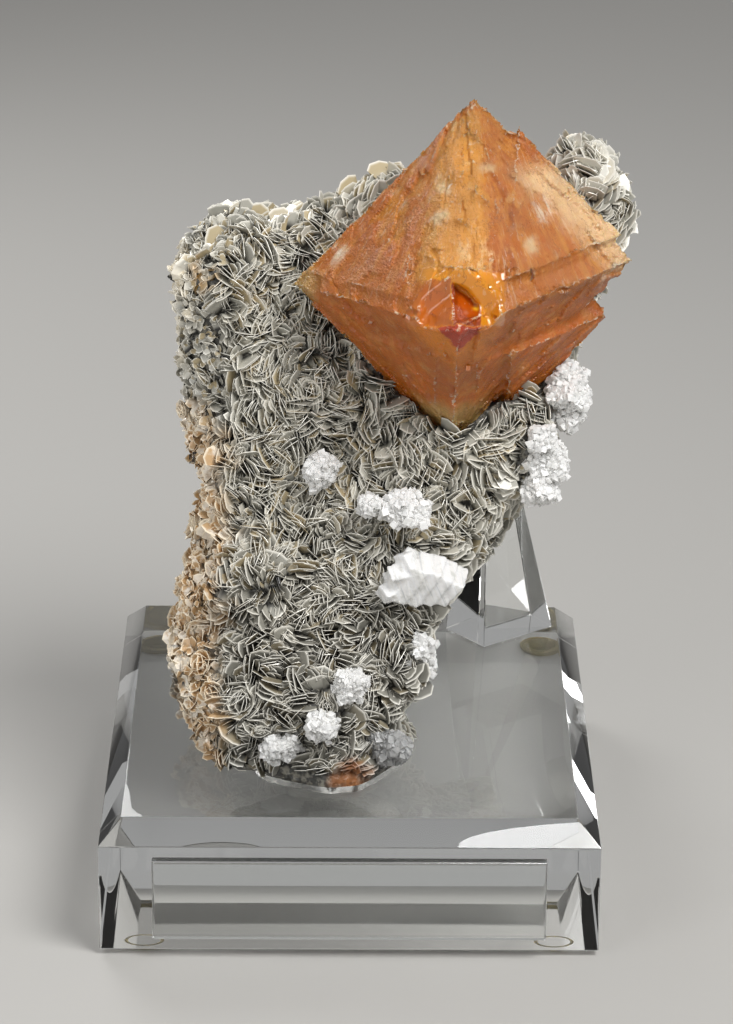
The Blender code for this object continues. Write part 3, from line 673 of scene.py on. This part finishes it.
def plate_mesh(name, plates, chance):
    """A mesh of plates, with the tone of each and how near each corner is to its rim."""
    count = len(plates)
    loops = (np.arange(count)[:, None, None] * PLATE_VERTS + np.array(plate_faces(0))[None]).ravel()
    mesh = bpy.data.meshes.new(name)
    mesh.vertices.add(count * PLATE_VERTS)
    mesh.loops.add(len(loops))
    mesh.polygons.add(len(loops) // 4)
    mesh.loops.foreach_set("vertex_index", loops.astype(np.int32))
    mesh.polygons.foreach_set("loop_start", np.arange(0, len(loops), 4, dtype=np.int32))
    write_points(mesh, plates.reshape(-1, 3))
    write_attribute(mesh, "tone", np.repeat(chance.random(count), PLATE_VERTS))
    write_attribute(mesh, "rim", np.tile(np.repeat([0.0, 1.0, 0.0, 1.0], PLATE_COLUMNS), count))
    mesh.validate()
    mesh.shade_flat()
    return mesh


def mica_zones(tree, spot):
    """Masks by name: where the mica is golden, cream, paler, darker or stained with iron."""
    rough = ragged(tree, spot, 9.0, 16.0)
    broken = ragged(tree, spot, 14.0, 34.0)
    left, up, down = (-1, 0, 0), (0, 0, 1), (0, 0, -1)
    return {
        "golden": both(
            tree, beyond(tree, broken, left, 33.0, 42.0), beyond(tree, broken, down, -138.0, -126.0),
        ),
        "cream": both(tree, beyond(tree, rough, left, 47.0, 53.0), beyond(tree, rough, up, 138.0, 148.0)),
        "pale": patch(tree, rough, (-26.0, -38.0, 88.0), 8.0, 18.0),
        "lobe": patch(tree, rough, (70.0, 18.0, 208.0), 8.0, 10.0),
        "low": beyond(tree, rough, down, -120.0, -70.0),
        "dark_foot": patch(tree, rough, (-54.0, -25.0, 55.0), 7.0, 8.0),
        "stain": patch(tree, rough, (1.5, -55.0, 42.0), 1.0, 7.0),
        "corner": patch(tree, rough, (-44.0, 0.0, 179.0), 1.0, 7.0),
    }


def plate_material():
    """Muscovite: thin pearly sheets, grey on their faces, with painted shade at their roots and pale rims that are
    partly their own paler edges and partly painted highlight.
    """
    material, tree, shader = new_material("muscovite, pearly cleavage plates")
    spot = object_mm(tree)
    zones = mica_zones(tree, spot)
    face = part_of(tree, "rim", 0.12, 0.62)
    # The rims: partly the plates' own paler edges, partly painted highlight
    rim = part_of(tree, "rim", 0.86, 1.0)
    colour = painted(
        # The dark base is painted shade at the plates' roots, deep down between the plates
        tree, "#262522",
        ("#A7A59B", 1.0, face),
        ("#DBD7CA", 0.75, face, part_of(tree, "tone", 0.3, 0.75)),
        ("#B09A68", 0.7, face, part_of(tree, "tone", 0.76, 0.82)),
        ("#5E5C54", 0.6, zones["low"], face),
        # Pale rims: own paler edges and painted highlight
        ("#F8F5EB", 0.85, rim),
        ("#CDA674", 0.85, zones["golden"], face),
        ("#F6F0E4", 0.85, zones["golden"], patchy(tree, spot, 7.0, 0.48, 0.56)),
        ("#8A6A44", 0.6, zones["golden"], patchy(tree, spot, 4.0, 0.58, 0.66)),
        # Golden rims: own paler edges and painted highlight
        ("#FFF3DA", 0.9, zones["golden"], rim),
        ("#FFF8E8", 0.95, zones["cream"], face),
        ("#EDE8DC", 0.4, zones["pale"], rim),
        ("#F6F3EA", 0.6, zones["lobe"], face),
        ("#6A6862", 0.7, zones["dark_foot"]),
        ("#A8662C", 0.85, zones["stain"]),
        ("#C79A4B", 0.75, zones["corner"]),
    )
    roughness = add(tree, "ShaderNodeMapRange", {
        "Value": add(tree, "ShaderNodeAttribute", output="Fac", attribute_name="tone"), 3: 0.44, 4: 0.26,
    })
    set_shader(tree, shader, {
        "Base Color": colour, "Roughness": roughness, "IOR": 1.58, "Specular IOR Level": 0.65,
        "Metallic": 0.08,
    })
    return material


def core_material():
    """Crushed mica under the plates: dark where light doesn't reach, tan where it is weathered."""
    material, tree, shader = new_material("muscovite, crushed flakes")
    spot = object_mm(tree)
    zones = mica_zones(tree, spot)
    inputs = {"Vector": spot, "Scale": 0.6}
    flakes = add(tree, "ShaderNodeTexVoronoi", inputs, distance="CHEBYCHEV").node.outputs
    colour = painted(
        tree, "#3E3D39",
        ("#8B877B", 0.8, patchy(tree, spot, 1.7, 0.45, 0.62)),
        ("#A98A5E", 0.75, zones["golden"]),
        ("#D8CFBB", 0.7, zones["cream"]),
        ("#A8662C", 0.85, zones["stain"]),
    )
    bump = add(tree, "ShaderNodeBump", {"Height": flakes["Distance"], "Strength": 0.8, "Distance": 1.0 * MM})
    set_shader(tree, shader, {"Base Color": colour, "Roughness": 0.5, "IOR": 1.58, "Normal": bump})
    return material


class SPECIMEN_OT_mica(bpy.types.Operator):
    """Builds the mica: its core, and the fans, roses and flakes that cover it"""
    bl_idname = "specimen.mica"
    bl_label = "Mica"

    def execute(self, context):
        settings = context.scene.specimen_mica
        core = mica_core(settings)
        tree = scatter_tree("plates on a skin")
        finish = plate_material()
        grown = []
        for where, kinds, make, spacing, tilt in (
            ("fans", FAN_KINDS, fan_plates, settings.fan_spacing, 0.85),
            ("roses", ROSE_KINDS, rose_plates, settings.rose_spacing, 0.35),
            ("flakes", FLAKE_KINDS, flake_plates, settings.flake_spacing, 0.6),
        ):
            collection = plate_collection(where, kinds, make, settings)
            grown.append(scattered(where, core, tree, {
                "Kinds": collection, "Where": where, "Spacing": spacing, "Least size": 0.6, "Most size": 1.2,
                "Tilt": tilt, "Seed": settings.seed, "Finish": finish,
            }))
            discard(collection)
        chance = np.random.default_rng(settings.seed)
        plates = loose_plates([obj.data for obj in grown])
        for obj in grown:
            bpy.data.objects.remove(obj)
        for number, share in enumerate(np.array_split(plates, MICA_PIECES)):
            name = f"mica_blades_{number + 1}"
            dress(link(bpy.data.objects.new(name, plate_mesh(name, share, chance))), "muscovite", [finish])
        dress(core, "muscovite", [core_material()], "muscovite_matrix", smooth_below=60)
        return {"FINISHED"}


# The scheelite

RAY_SOURCE = CRYSTAL_TOP + Vector((0, 0, 14))
RAY_WIDTH = 60.0
CLOUDY_SPOTS = [(25.2, -22.6, 213.2), (24.3, -28.5, 204.6), (38.8, -21.9, 217.8), (50.6, -27.7, 196.5)]
VEILED_SPOTS = [(-5.2, -10.6, 189.3), (11.4, -14.4, 205.0), (54.2, -19.6, 205.0), (74.9, -12.9, 182.2)]


def crystal_rays(tree, spot, lengthwise):
    """Coordinates that make a pattern run along the rays from above the crystal's tip."""
    arm = add(tree, "ShaderNodeVectorMath", {0: spot, 1: RAY_SOURCE}, operation="SUBTRACT")
    length = add(tree, "ShaderNodeVectorMath", {0: arm}, "Value", operation="LENGTH")
    direction = add(tree, "ShaderNodeVectorMath", {0: arm}, operation="NORMALIZE")
    across = add(tree, "ShaderNodeVectorMath", {0: direction, "Scale": RAY_WIDTH}, operation="SCALE")
    along = add(tree, "ShaderNodeMath", {0: length, 1: lengthwise}, operation="MULTIPLY")
    return add(tree, "ShaderNodeVectorMath", {0: across, 1: add(tree, "ShaderNodeCombineXYZ", {"Z": along})})


# The glassy facets round the broken front corner, as seen from the front and a little above. Each has its
# sides: a direction to the right and up, and where the facet starts along it, in millimetres.
FRONT_VIEW_ANGLE = 21.16
AMBER_FACET = [((-0.08, -1.0), -168.3), ((0.7, 0.71), 130.5), ((-1.0, 0.0), -43.7), ((0.0, 1.0), 149.4)]
PINK_FACET = [((-1.0, 0.0), -28.2), ((0.89, -0.46), -56.8), ((0.0, -1.0), -163.0), ((0.0, 1.0), 149.4)]
WINDOW_FACET = [((1.0, 0.0), 28.0), ((-0.65, -0.76), -141.6), ((-1.0, 0.0), -36.8), ((0.0, 1.0), 149.4)]
RED_FACET = [((0.0, -1.0), -149.6), ((0.75, 0.66), 116.3), ((-0.69, 0.72), 81.5)]
FACET_EDGE = 0.6
FACETS_FRONT = (28.0, 30.0)
# The broken pocket: how far it reaches from the front corner, and between which heights above it
POCKET_REACH = 21.0
POCKET_LOW = 0.5
POCKET_HIGH = 14.5


def facet(tree, spot, sides):
    """1 on one of the facets round the front corner."""
    angle = math.radians(FRONT_VIEW_ANGLE)
    front = add(tree, "ShaderNodeVectorRotate", {"Vector": spot, "Angle": angle}, rotation_type="X_AXIS")
    share = beyond(tree, spot, (0, -1, 0), *FACETS_FRONT)
    for (right, up), start in sides:
        inside = beyond(tree, front, (right, 0, up), start, start + FACET_EDGE)
        share = both(tree, share, inside)
    return share


def crystal_material(settings):
    """Scheelite: greasy to glassy, cloudy orange, with pale veils near the skin and a deep orange window, and with
    painted light: a highlight on its upper right flank, a glow below its front corner, a bright spot in the window
    and glints among its pale scratches.
    """
    material, tree, shader = new_material("scheelite, translucent orange")
    spot = object_mm(tree)
    rough = ragged(tree, spot, 5.0, 7.0)
    rays = crystal_rays(tree, spot, 0.1)
    streaks = patchy(tree, rays, 2.4, 0.47, 0.62, detail=6.0, roughness=0.7)
    # Pale fine marks: partly real scratches, partly painted glints on the skin
    scratches_and_glints = patchy(tree, rays, 0.9, 0.6, 0.66, detail=3.0)
    cracks = veins(tree, crystal_rays(tree, rough, 0.25), 7.0, 0.012)
    clouds = patchy(tree, spot, 16.0, 0.4, 0.64)
    veils = patchy(tree, rough, 7.0, 0.55, 0.72, detail=6.0, roughness=0.7)
    upper = beyond(tree, spot, (0, 0, 1), 178.0, 186.0)
    lower = beyond(tree, spot, (0, 0, -1), -181.0, -176.0)
    band = part_of(tree, "band", 0.0, 1.0)
    chipped = ragged(tree, spot, 2.5, 2.4)
    amber, pink, window, red = (
        facet(tree, chipped, sides) for sides in (AMBER_FACET, PINK_FACET, WINDOW_FACET, RED_FACET)
    )
    around = patch(tree, rough, (30.0, -44.0, 184.0), 9.0, 9.0)
    # Painted highlight: the upper right flank is painted a paler peach where the light falls on it
    painted_highlight_right = beyond(tree, rough, (0.7, 0, 0.7), 179.0, 186.0)
    # Painted glow: a saturated orange patch below the front corner, for light shining through the crystal
    glow = patch(tree, rough, (30.5, -48.0, 173.0), 11.0, 9.0)
    layers = [
        ("#AA5406", 0.65, clouds),
        ("#E89C34", 0.65, part_of(tree, "tone", 0.6, 0.95)),
        ("#9A4A06", 0.6, part_of(tree, "tone", 0.4, 0.05)),
        ("#E89C40", 0.5, streaks, upper),
        ("#D06C08", 0.85, lower),
        ("#E0943C", 0.5, streaks, lower),
        ("#F0AE4C", 0.6, band),
        ("#F8D08C", 0.5, band, veils),
        ("#F0BA6C", 0.5, veils, upper),
        ("#E0A860", 0.45, veils, lower),
        # Painted highlight on the upper right flank
        ("#F6D09C", 0.8, painted_highlight_right, beyond(tree, spot, (0, 0, -1), -219.0, -212.0), upper),
        ("#C8A45C", 0.8, patch(tree, rough, (-18.0, -8.0, 178.0), 4.0, 9.0)),
        ("#E4C07C", 0.8, patch(tree, rough, (29.0, -12.0, 133.0), 9.0, 9.0)),
        # Painted glow below the front corner
        ("#F08C10", 0.8, glow),
        ("#EE9A1C", 0.9, amber, around),
        ("#F0B650", 0.6, amber, around, veils),
        ("#BE6426", 0.85, pink, around),
        ("#F8D49C", 0.8, patch(tree, rough, (36.0, -37.5, 196.5), 3.0, 3.0), streaks),
        ("#B84A06", 0.95, window),
        ("#8A2C04", 0.6, window, patchy(tree, spot, 5.0, 0.45, 0.6)),
        # Painted bright spot of light in the deep window
        ("#FFC02A", 0.9, window, patch(tree, rough, (35.2, -41.0, 181.5), 0.8, 2.2)),
        ("#C23204", 0.95, red),
        ("#7A3A08", 0.5, cracks, upper),
        # Pale scratches and painted glints on the upper faces
        ("#FBE4BC", 0.25, scratches_and_glints, upper),
    ]
    layers += [("#F8DCAC", 0.7, patch(tree, rough, middle, 1.0, 3.0)) for middle in CLOUDY_SPOTS]
    layers += [("#F8E8CF", 0.8, patch(tree, rough, middle, 1.0, 5.0), streaks) for middle in VEILED_SPOTS]
    layers.append(("#F8E4C6", 0.75, part_of(tree, "edge", 0.35, 1.0), patchy(tree, spot, 1.6, 0.42, 0.6)))
    colour = painted(tree, tuple(settings.colour), *layers)
    height = add(tree, "ShaderNodeMath", {
        0: patchy(tree, rays, 1.1, 0.3, 0.75, detail=5.0, roughness=0.7), 1: 0.7,
        2: patchy(tree, spot, 0.8, 0.3, 0.7, detail=3.0),
    }, operation="MULTIPLY_ADD")
    glassy = add(tree, "ShaderNodeMath", {0: amber, 1: pink}, operation="MAXIMUM")
    smooth = add(tree, "ShaderNodeMapRange", {"Value": glassy, 3: 0.75, 4: 0.08})
    bump = add(tree, "ShaderNodeBump", {"Height": height, "Strength": smooth, "Distance": 0.4 * MM})
    roughness = add(tree, "ShaderNodeMapRange", {"Value": streaks, 3: 0.1, 4: 0.26})
    roughness = add(tree, "ShaderNodeMix", {0: glassy, 2: roughness, 3: 0.1})
    clear = add(tree, "ShaderNodeMapRange", {"Value": clouds, 3: 0.35, 4: 0.15})
    set_shader(tree, shader, {
        "Base Color": colour, "Roughness": roughness, "IOR": 1.92, "Specular IOR Level": 0.3,
        "Transmission Weight": clear, "Normal": bump, "Subsurface Weight": 0.35,
        "Subsurface Radius": (1.0, 0.5, 0.15), "Subsurface Scale": 3.0 * MM,
    })
    return material


def grid_cells(first, second, octant):
    """A random value from 0 to 1 for each cell of a grid on each of the eight faces."""
    seed = np.floor(first) * 12.9898 + np.floor(second) * 78.233 + octant * 37.719
    return np.abs(np.modf(np.sin(seed) * 43758.5453)[0])


def growth_plates(places, settings):
    """How far in the growth plates and striae of each face lie, in millimetres, and each plate's tone."""
    arm = (places - np.array(CRYSTAL_MIDDLE)) / CRYSTAL_HALF_WIDTHS
    octant = (arm > 0) @ np.array([1, 2, 4])
    across, high = np.abs(arm[:, 0]), np.abs(arm[:, 2])
    from_tip = 1 - high
    ray = across / np.maximum(from_tip, 0.05)
    wander = noise_at(places, 0.12)
    flutter = noise_at(places, 0.7)
    broad = grid_cells(high * 4.3 + 0.5 * wander, across * 3.1 + 0.06 * flutter, octant)
    row = ray * 8 + 0.5 * wander + 0.08 * flutter
    lean = row - np.floor(row)
    long = grid_cells(row, from_tip * 6 + 7 * grid_cells(row, 0 * row, octant) + 0.2 * flutter, octant)
    row = ray * 30 + 2 * wander
    fine = grid_cells(row, from_tip * 14 + 9 * grid_cells(row, 0 * row, octant) + 0.5 * flutter, octant)
    plates = 0.4 * broad + 0.4 * long + 0.5 * long * lean
    inward = settings.ledge / MM * plates + settings.striation / MM * fine
    return inward, 0.25 * broad + 0.5 * long + 0.25 * fine


def edge_sharpness(mesh, places, normals):
    """How sharply the skin turns outwards at each of its points."""
    ends = np.empty(len(mesh.edges) * 2, np.int32)
    mesh.edges.foreach_get("vertices", ends)
    first, second = ends.reshape(-1, 2).T
    bend = 1 - (normals[first] * normals[second]).sum(axis=1)
    outward = ((places[second] - places[first]) * (normals[second] - normals[first])).sum(axis=1) > 0
    sharpness = np.zeros(len(places))
    for end in (first, second):
        np.maximum.at(sharpness, end, bend * outward)
    return sharpness


def golden_band(places, chips):
    """1 on the paler band that runs down the ridge between the two upper front faces."""
    x, y, z = places.T
    ridge = 30.0 + (z - 180.0) * 0.085
    width = 4.0 + 0.13 * (CRYSTAL_TOP.z - z)
    across = np.abs(x - ridge + 2.5 + 2.0 * chips)
    return smoothstep(width + 2.5, width - 2.5, across) * (y < -12) * smoothstep(186, 190, z)


class SPECIMEN_OT_scheelite(bpy.types.Operator):
    """Builds the scheelite, with its ledges, striations and worn edges"""
    bl_idname = "specimen.scheelite"
    bl_label = "Scheelite"

    def execute(self, context):
        settings = context.scene.specimen_crystal
        crystal = remesh(merged_copy("scheelite_crystal", "scheelite"), settings.grain)
        places, normals = read_points(crystal.data)
        depth = crystal_depth(places)
        corner = np.linalg.norm(places - np.array(CRYSTAL_CORNER), axis=1)
        above = places[:, 2] - CRYSTAL_CORNER.z
        near = (corner < POCKET_REACH) & (above > POCKET_LOW) & (above < POCKET_HIGH)
        pocket = smoothstep(0.25, 0.6, depth) * near
        inward, tone = growth_plates(places, settings)
        write_points(crystal.data, places - normals * (inward * (1 - pocket))[:, None])
        places, normals = read_points(crystal.data)
        edges = smoothstep(0.04, 0.3, edge_sharpness(crystal.data, places, normals))
        chips = noise_at(places, 0.4)
        worn = settings.wear / MM * edges * smoothstep(0.0, 0.5, chips) * (1 - pocket)
        write_points(crystal.data, places - normals * worn[:, None])
        for name, values in (("band", golden_band(places, chips)), ("tone", tone), ("edge", edges)):
            write_attribute(crystal.data, name, values)
        dress(crystal, "scheelite", [crystal_material(settings)], "scheelite_crystal", smooth_below=38)
        return {"FINISHED"}


# The white crystals

BAND_ACROSS = Vector((0.94, 0.0, 0.34))
BAND_ALONG = Vector((0.34, 0.0, -0.94))


def white_material(name, colour, shade, transmission, roughness, banded=False):
    """Calcite and quartz: milky, with light scattered inside, and bright bands where striated."""
    material, tree, shader = new_material(name)
    spot = object_mm(tree)
    layers = [(colour, 1.0, patchy(tree, spot, 2.6, 0.3, 0.5))]
    if banded:
        across, along = (
            add(tree, "ShaderNodeVectorMath", {0: spot, 1: direction}, "Value", operation="DOT_PRODUCT")
            for direction in (BAND_ACROSS, BAND_ALONG * 0.05)
        )
        bands = add(tree, "ShaderNodeCombineXYZ", {"X": across, "Y": along})
        layers.append(("#FFFFFF", 0.9, patchy(tree, bands, 1.8, 0.5, 0.58, detail=2.0)))
        layers.append(("#CFD2D4", 0.6, patchy(tree, bands, 1.1, 0.58, 0.66, detail=2.0)))
    bump = add(tree, "ShaderNodeBump", {
        "Height": patchy(tree, spot, 0.5, 0.3, 0.7, detail=3.0), "Strength": 0.35, "Distance": 0.25 * MM,
    })
    set_shader(tree, shader, {
        "Base Color": painted(tree, shade, *layers), "Roughness": roughness, "IOR": 1.6, "Normal": bump,
        "Transmission Weight": transmission, "Subsurface Weight": 0.5, "Subsurface Radius": (1.0, 0.97, 0.94),
        "Subsurface Scale": 2.5 * MM,
    })
    return material


def sugar_collection(edge):
    """Small cleavage rhombs, from flat to pointed."""
    collection = bpy.data.collections.new("sugar_crystals")
    upright = Vector((1, 1, 1)).rotation_difference(Vector((0, 0, 1))).to_matrix()
    for kind, tall in enumerate((0.6, 0.8, 1.0, 1.3)):
        bm = bmesh.new()
        bmesh.ops.create_cube(bm, size=edge)
        bmesh.ops.rotate(bm, cent=(0, 0, 0), matrix=upright, verts=bm.verts)
        bmesh.ops.scale(bm, vec=(1, 1, tall), verts=bm.verts)
        mesh = bpy.data.meshes.new(f"rhomb_{kind}")
        bm.to_mesh(mesh)
        bm.free()
        collection.objects.link(bpy.data.objects.new(f"rhomb_{kind}", mesh))
    return collection


def striated_large():
    """The large white crystal, softened and grooved along its cleavage bands."""
    large = remesh(merged_copy("calcite_large", "calcite_large_finished"), 0.45 * MM, smoothing=14)
    places, normals = read_points(large.data)
    across = places @ np.array(BAND_ACROSS)
    along = places @ np.array(BAND_ALONG)
    grooves = np.array([noise.noise(Vector((a * 0.9, b * 0.06, 0))) for a, b in zip(across, along)])
    write_points(large.data, places - normals * (0.25 * smoothstep(-0.2, 0.3, grooves))[:, None])
    return large


class SPECIMEN_OT_whites(bpy.types.Operator):
    """Builds the white crystals and the sugar of small crystals on them"""
    bl_idname = "specimen.whites"
    bl_label = "White crystals"

    def execute(self, context):
        settings = context.scene.specimen_white
        white = tuple(settings.colour)
        calcite = white_material("calcite, milky and sugary", white, "#DEDEDA", 0.08, 0.32)
        banded = white_material(
            "calcite, milky with cleavage bands", white, "#DEDEDA", 0.15, 0.26, banded=True,
        )
        quartz = white_material("quartz, cloudy", "#ECECEA", "#C9CBCC", 0.55, 0.14)
        sugar = sugar_collection(settings.sugar)
        tree = scatter_tree("sugar on a skin")
        for name in WHITE_CLUSTERS:
            skin = merged_copy(name, name + "_finished")
            count = len(skin.data.vertices)
            write_attribute(skin.data, "everywhere", np.ones(count))
            write_attribute(skin.data, "room", np.ones(count))
            glassy = name.startswith("quartz")
            finish, slot_name = (quartz, "quartz") if glassy else (calcite, "calcite")
            crust = scattered(name + "_sugar", skin, tree, {
                "Kinds": sugar, "Where": "everywhere", "Spacing": settings.spacing, "Least size": 0.4,
                "Most size": 1.15, "Tilt": 3.0, "Seed": settings.seed, "Finish": finish,
            })
            dress(crust, slot_name, [finish])
            dress(skin, slot_name, [finish], name)
        dress(striated_large(), "calcite", [banded], "calcite_large", smooth_below=35)
        discard(sugar)
        return {"FINISHED"}


# The acrylic stand

def acrylic_material(name, colour, roughness):
    """Acrylic: clear cast sheet, frosted where it is only sawn and bright where it is polished."""
    material, tree, shader = new_material(name)
    set_shader(tree, shader, {
        "Base Color": colour, "Roughness": roughness, "IOR": 1.49, "Transmission Weight": 1.0,
    })
    return material


def smooth_outline(points, steps):
    """A closed smooth curve through points, as a list of more points."""
    count = len(points)
    outline = []
    for index in range(count):
        before, start, end, after = (Vector(points[(index + k) % count]) for k in (-1, 0, 1, 2))
        for step in range(steps):
            t = step / steps
            outline.append(0.5 * (
                2 * start + (end - before) * t + (2 * before - 5 * start + 4 * end - after) * t ** 2
                + (3 * start - before - 3 * end + after) * t ** 3
            ))
    return outline


def ease_edges(obj, width):
    bevel = obj.modifiers.new("eased", "BEVEL")
    bevel.width = width
    bevel.segments = 2
    bevel.limit_method = "ANGLE"
    bevel.angle_limit = math.radians(25)
    return evaluate(obj)


def block_with_recess(clear, milled):
    """The block, chamfered round its top, with a recess milled to a smooth outline."""
    low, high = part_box("display_block")
    bm = bmesh.new()
    bmesh.ops.create_cube(bm, size=1.0)
    bmesh.ops.scale(bm, vec=high - low, verts=bm.verts)
    rim = [edge for edge in bm.edges if all(vert.co.z > 0 for vert in edge.verts)]
    bmesh.ops.bevel(bm, geom=rim, offset=BLOCK_CHAMFER * MM, segments=1, affect="EDGES")
    bmesh.ops.translate(bm, vec=(low + high) / 2, verts=bm.verts)
    block = object_of("display_block_clear", bm)
    block.data.materials.append(clear)
    bm = bmesh.new()
    ring = [bm.verts.new(place(x, y, BLOCK_TOP - RECESS_DEPTH)) for x, y in smooth_outline(RECESS_RIM, 8)]
    wall = bmesh.ops.extrude_face_region(bm, geom=[bm.faces.new(ring)])["geom"]
    lifted = [item for item in wall if isinstance(item, bmesh.types.BMVert)]
    bmesh.ops.translate(bm, vec=(0, 0, 2 * RECESS_DEPTH * MM), verts=lifted)
    bmesh.ops.recalc_face_normals(bm, faces=bm.faces)
    recess = object_of("recess", bm)
    recess.data.materials.append(milled)
    cut = block.modifiers.new("recess", "BOOLEAN")
    cut.object = recess
    cut.operation = "DIFFERENCE"
    cut.solver = "EXACT"
    cut.material_mode = "TRANSFER"
    evaluate(block)
    bpy.data.objects.remove(recess)
    return block


class SPECIMEN_OT_stand(bpy.types.Operator):
    """Builds the clear acrylic block, post and label plate"""
    bl_idname = "specimen.stand"
    bl_label = "Acrylic stand"

    def execute(self, context):
        edge = context.scene.specimen_stand.edge
        clear = acrylic_material("acrylic, polished", "#FDFEFD", 0.0)
        milled = acrylic_material("acrylic, milled", "#FDFEFD", 0.22)
        sawn = acrylic_material("acrylic, sawn edge", "#FFFFFF", 0.5)
        block = ease_edges(block_with_recess(clear, milled), edge)
        dress(block, "acrylic", [clear, milled], "display_block", smooth_below=20)
        post = ease_edges(merged_copy("support_post", "support_post_clear", flat_faces=True), edge)
        dress(post, "acrylic", [clear], "support_post", smooth_below=20)
        label = ease_edges(merged_copy("label_plate", "label_plate_clear", flat_faces=True), edge)
        dress(label, "acrylic", [clear, sawn], "label_plate", smooth_below=20)
        for face in label.data.polygons:
            face.material_index = int(abs(face.normal.y) < 0.5)
        return {"FINISHED"}


BUMPER_SIDES = 64
# How far a bumper's rim is pressed into the block's underside, so that no air is left between them
BUMPER_BOND = 0.02 * MM


def bumper_material():
    """Polyurethane: soft, clear and slightly yellowed, so that its edge glows a little."""
    material, tree, shader = new_material("polyurethane, clear and slightly yellowed")
    set_shader(tree, shader, {
        "Base Color": "#EEDDA4", "Roughness": 0.12, "IOR": 1.49, "Transmission Weight": 0.7,
    })
    return material


class SPECIMEN_OT_bumpers(bpy.types.Operator):
    """Builds the clear bumper feet"""
    bl_idname = "specimen.bumpers"
    bl_label = "Bumpers"

    def execute(self, context):
        finish = bumper_material()
        for depth in ("front", "back"):
            for side in ("left", "right"):
                node = f"foot_{depth}_{side}"
                dress(turned_bumper(node), "bumper", [finish], node, smooth_below=30)
        return {"FINISHED"}


def turned_bumper(node):
    """A round bumper turned from its profile, its rim bonded to the block above a dimple in its top."""
    low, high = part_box(node)
    middle = (low + high) / 2
    radius = (high.x - low.x) / 2
    tall = BLOCK_LOW.z - low.z + BUMPER_BOND
    profile = [
        (0.0, tall * 0.72), (radius * 0.45, tall * 0.74), (radius * 0.62, tall * 0.98), (radius * 0.9, tall),
        (radius * 0.985, tall * 0.85), (radius, tall * 0.5), (radius * 0.97, tall * 0.2),
        (radius * 0.9, 0.0), (0.0, 0.0),
    ]
    bm = bmesh.new()
    rows = []
    for across, height in profile:
        if across == 0.0:
            rows.append([bm.verts.new((middle.x, middle.y, low.z + height))] * BUMPER_SIDES)
            continue
        row = []
        for step in range(BUMPER_SIDES):
            angle = math.tau * step / BUMPER_SIDES
            row.append(bm.verts.new((
                middle.x + across * math.cos(angle), middle.y + across * math.sin(angle), low.z + height,
            )))
        rows.append(row)
    for upper, lower in zip(rows, rows[1:]):
        for step in range(BUMPER_SIDES):
            after = (step + 1) % BUMPER_SIDES
            corners = [upper[step], lower[step], lower[after], upper[after]]
            bm.faces.new(list(dict.fromkeys(corners)))
    bmesh.ops.recalc_face_normals(bm, faces=bm.faces)
    return object_of(node + "_turned", bm)


class SPECIMEN_PT_panel(bpy.types.Panel):
    bl_idname = "SPECIMEN_PT_panel"
    bl_label = "Specimen"
    bl_space_type = "VIEW_3D"
    bl_region_type = "UI"
    bl_category = "Specimen"

    def draw(self, context):
        for operator, settings in STEPS:
            self.layout.operator(operator.bl_idname)
            group = getattr(context.scene, settings, None)
            for name in getattr(group, "__annotations__", {}):
                self.layout.prop(group, name)


SETTINGS = {
    "specimen_studio": StudioSettings,
    "specimen_mica": MicaSettings,
    "specimen_crystal": CrystalSettings,
    "specimen_white": WhiteSettings,
    "specimen_stand": StandSettings,
}
STEPS = [
    (SPECIMEN_OT_stage, "specimen_studio"),
    (SPECIMEN_OT_stand, "specimen_stand"),
    (SPECIMEN_OT_bumpers, ""),
    (SPECIMEN_OT_scheelite, "specimen_crystal"),
    (SPECIMEN_OT_whites, "specimen_white"),
    (SPECIMEN_OT_mica, "specimen_mica"),
]


def register():
    for name, group in SETTINGS.items():
        bpy.utils.register_class(group)
        setattr(bpy.types.Scene, name, bpy.props.PointerProperty(type=group))
    for operator, _ in STEPS:
        bpy.utils.register_class(operator)
    bpy.utils.register_class(SPECIMEN_PT_panel)


def unregister():
    bpy.utils.unregister_class(SPECIMEN_PT_panel)
    for operator, _ in reversed(STEPS):
        bpy.utils.unregister_class(operator)
    for name, group in SETTINGS.items():
        delattr(bpy.types.Scene, name)
        bpy.utils.unregister_class(group)


def main():
    register()
    bpy.ops.specimen.stage()
    bpy.ops.specimen.stand()
    bpy.ops.specimen.bumpers()
    bpy.ops.specimen.scheelite()
    bpy.ops.specimen.whites()
    bpy.ops.specimen.mica()


if __name__ == "__main__":
    main()
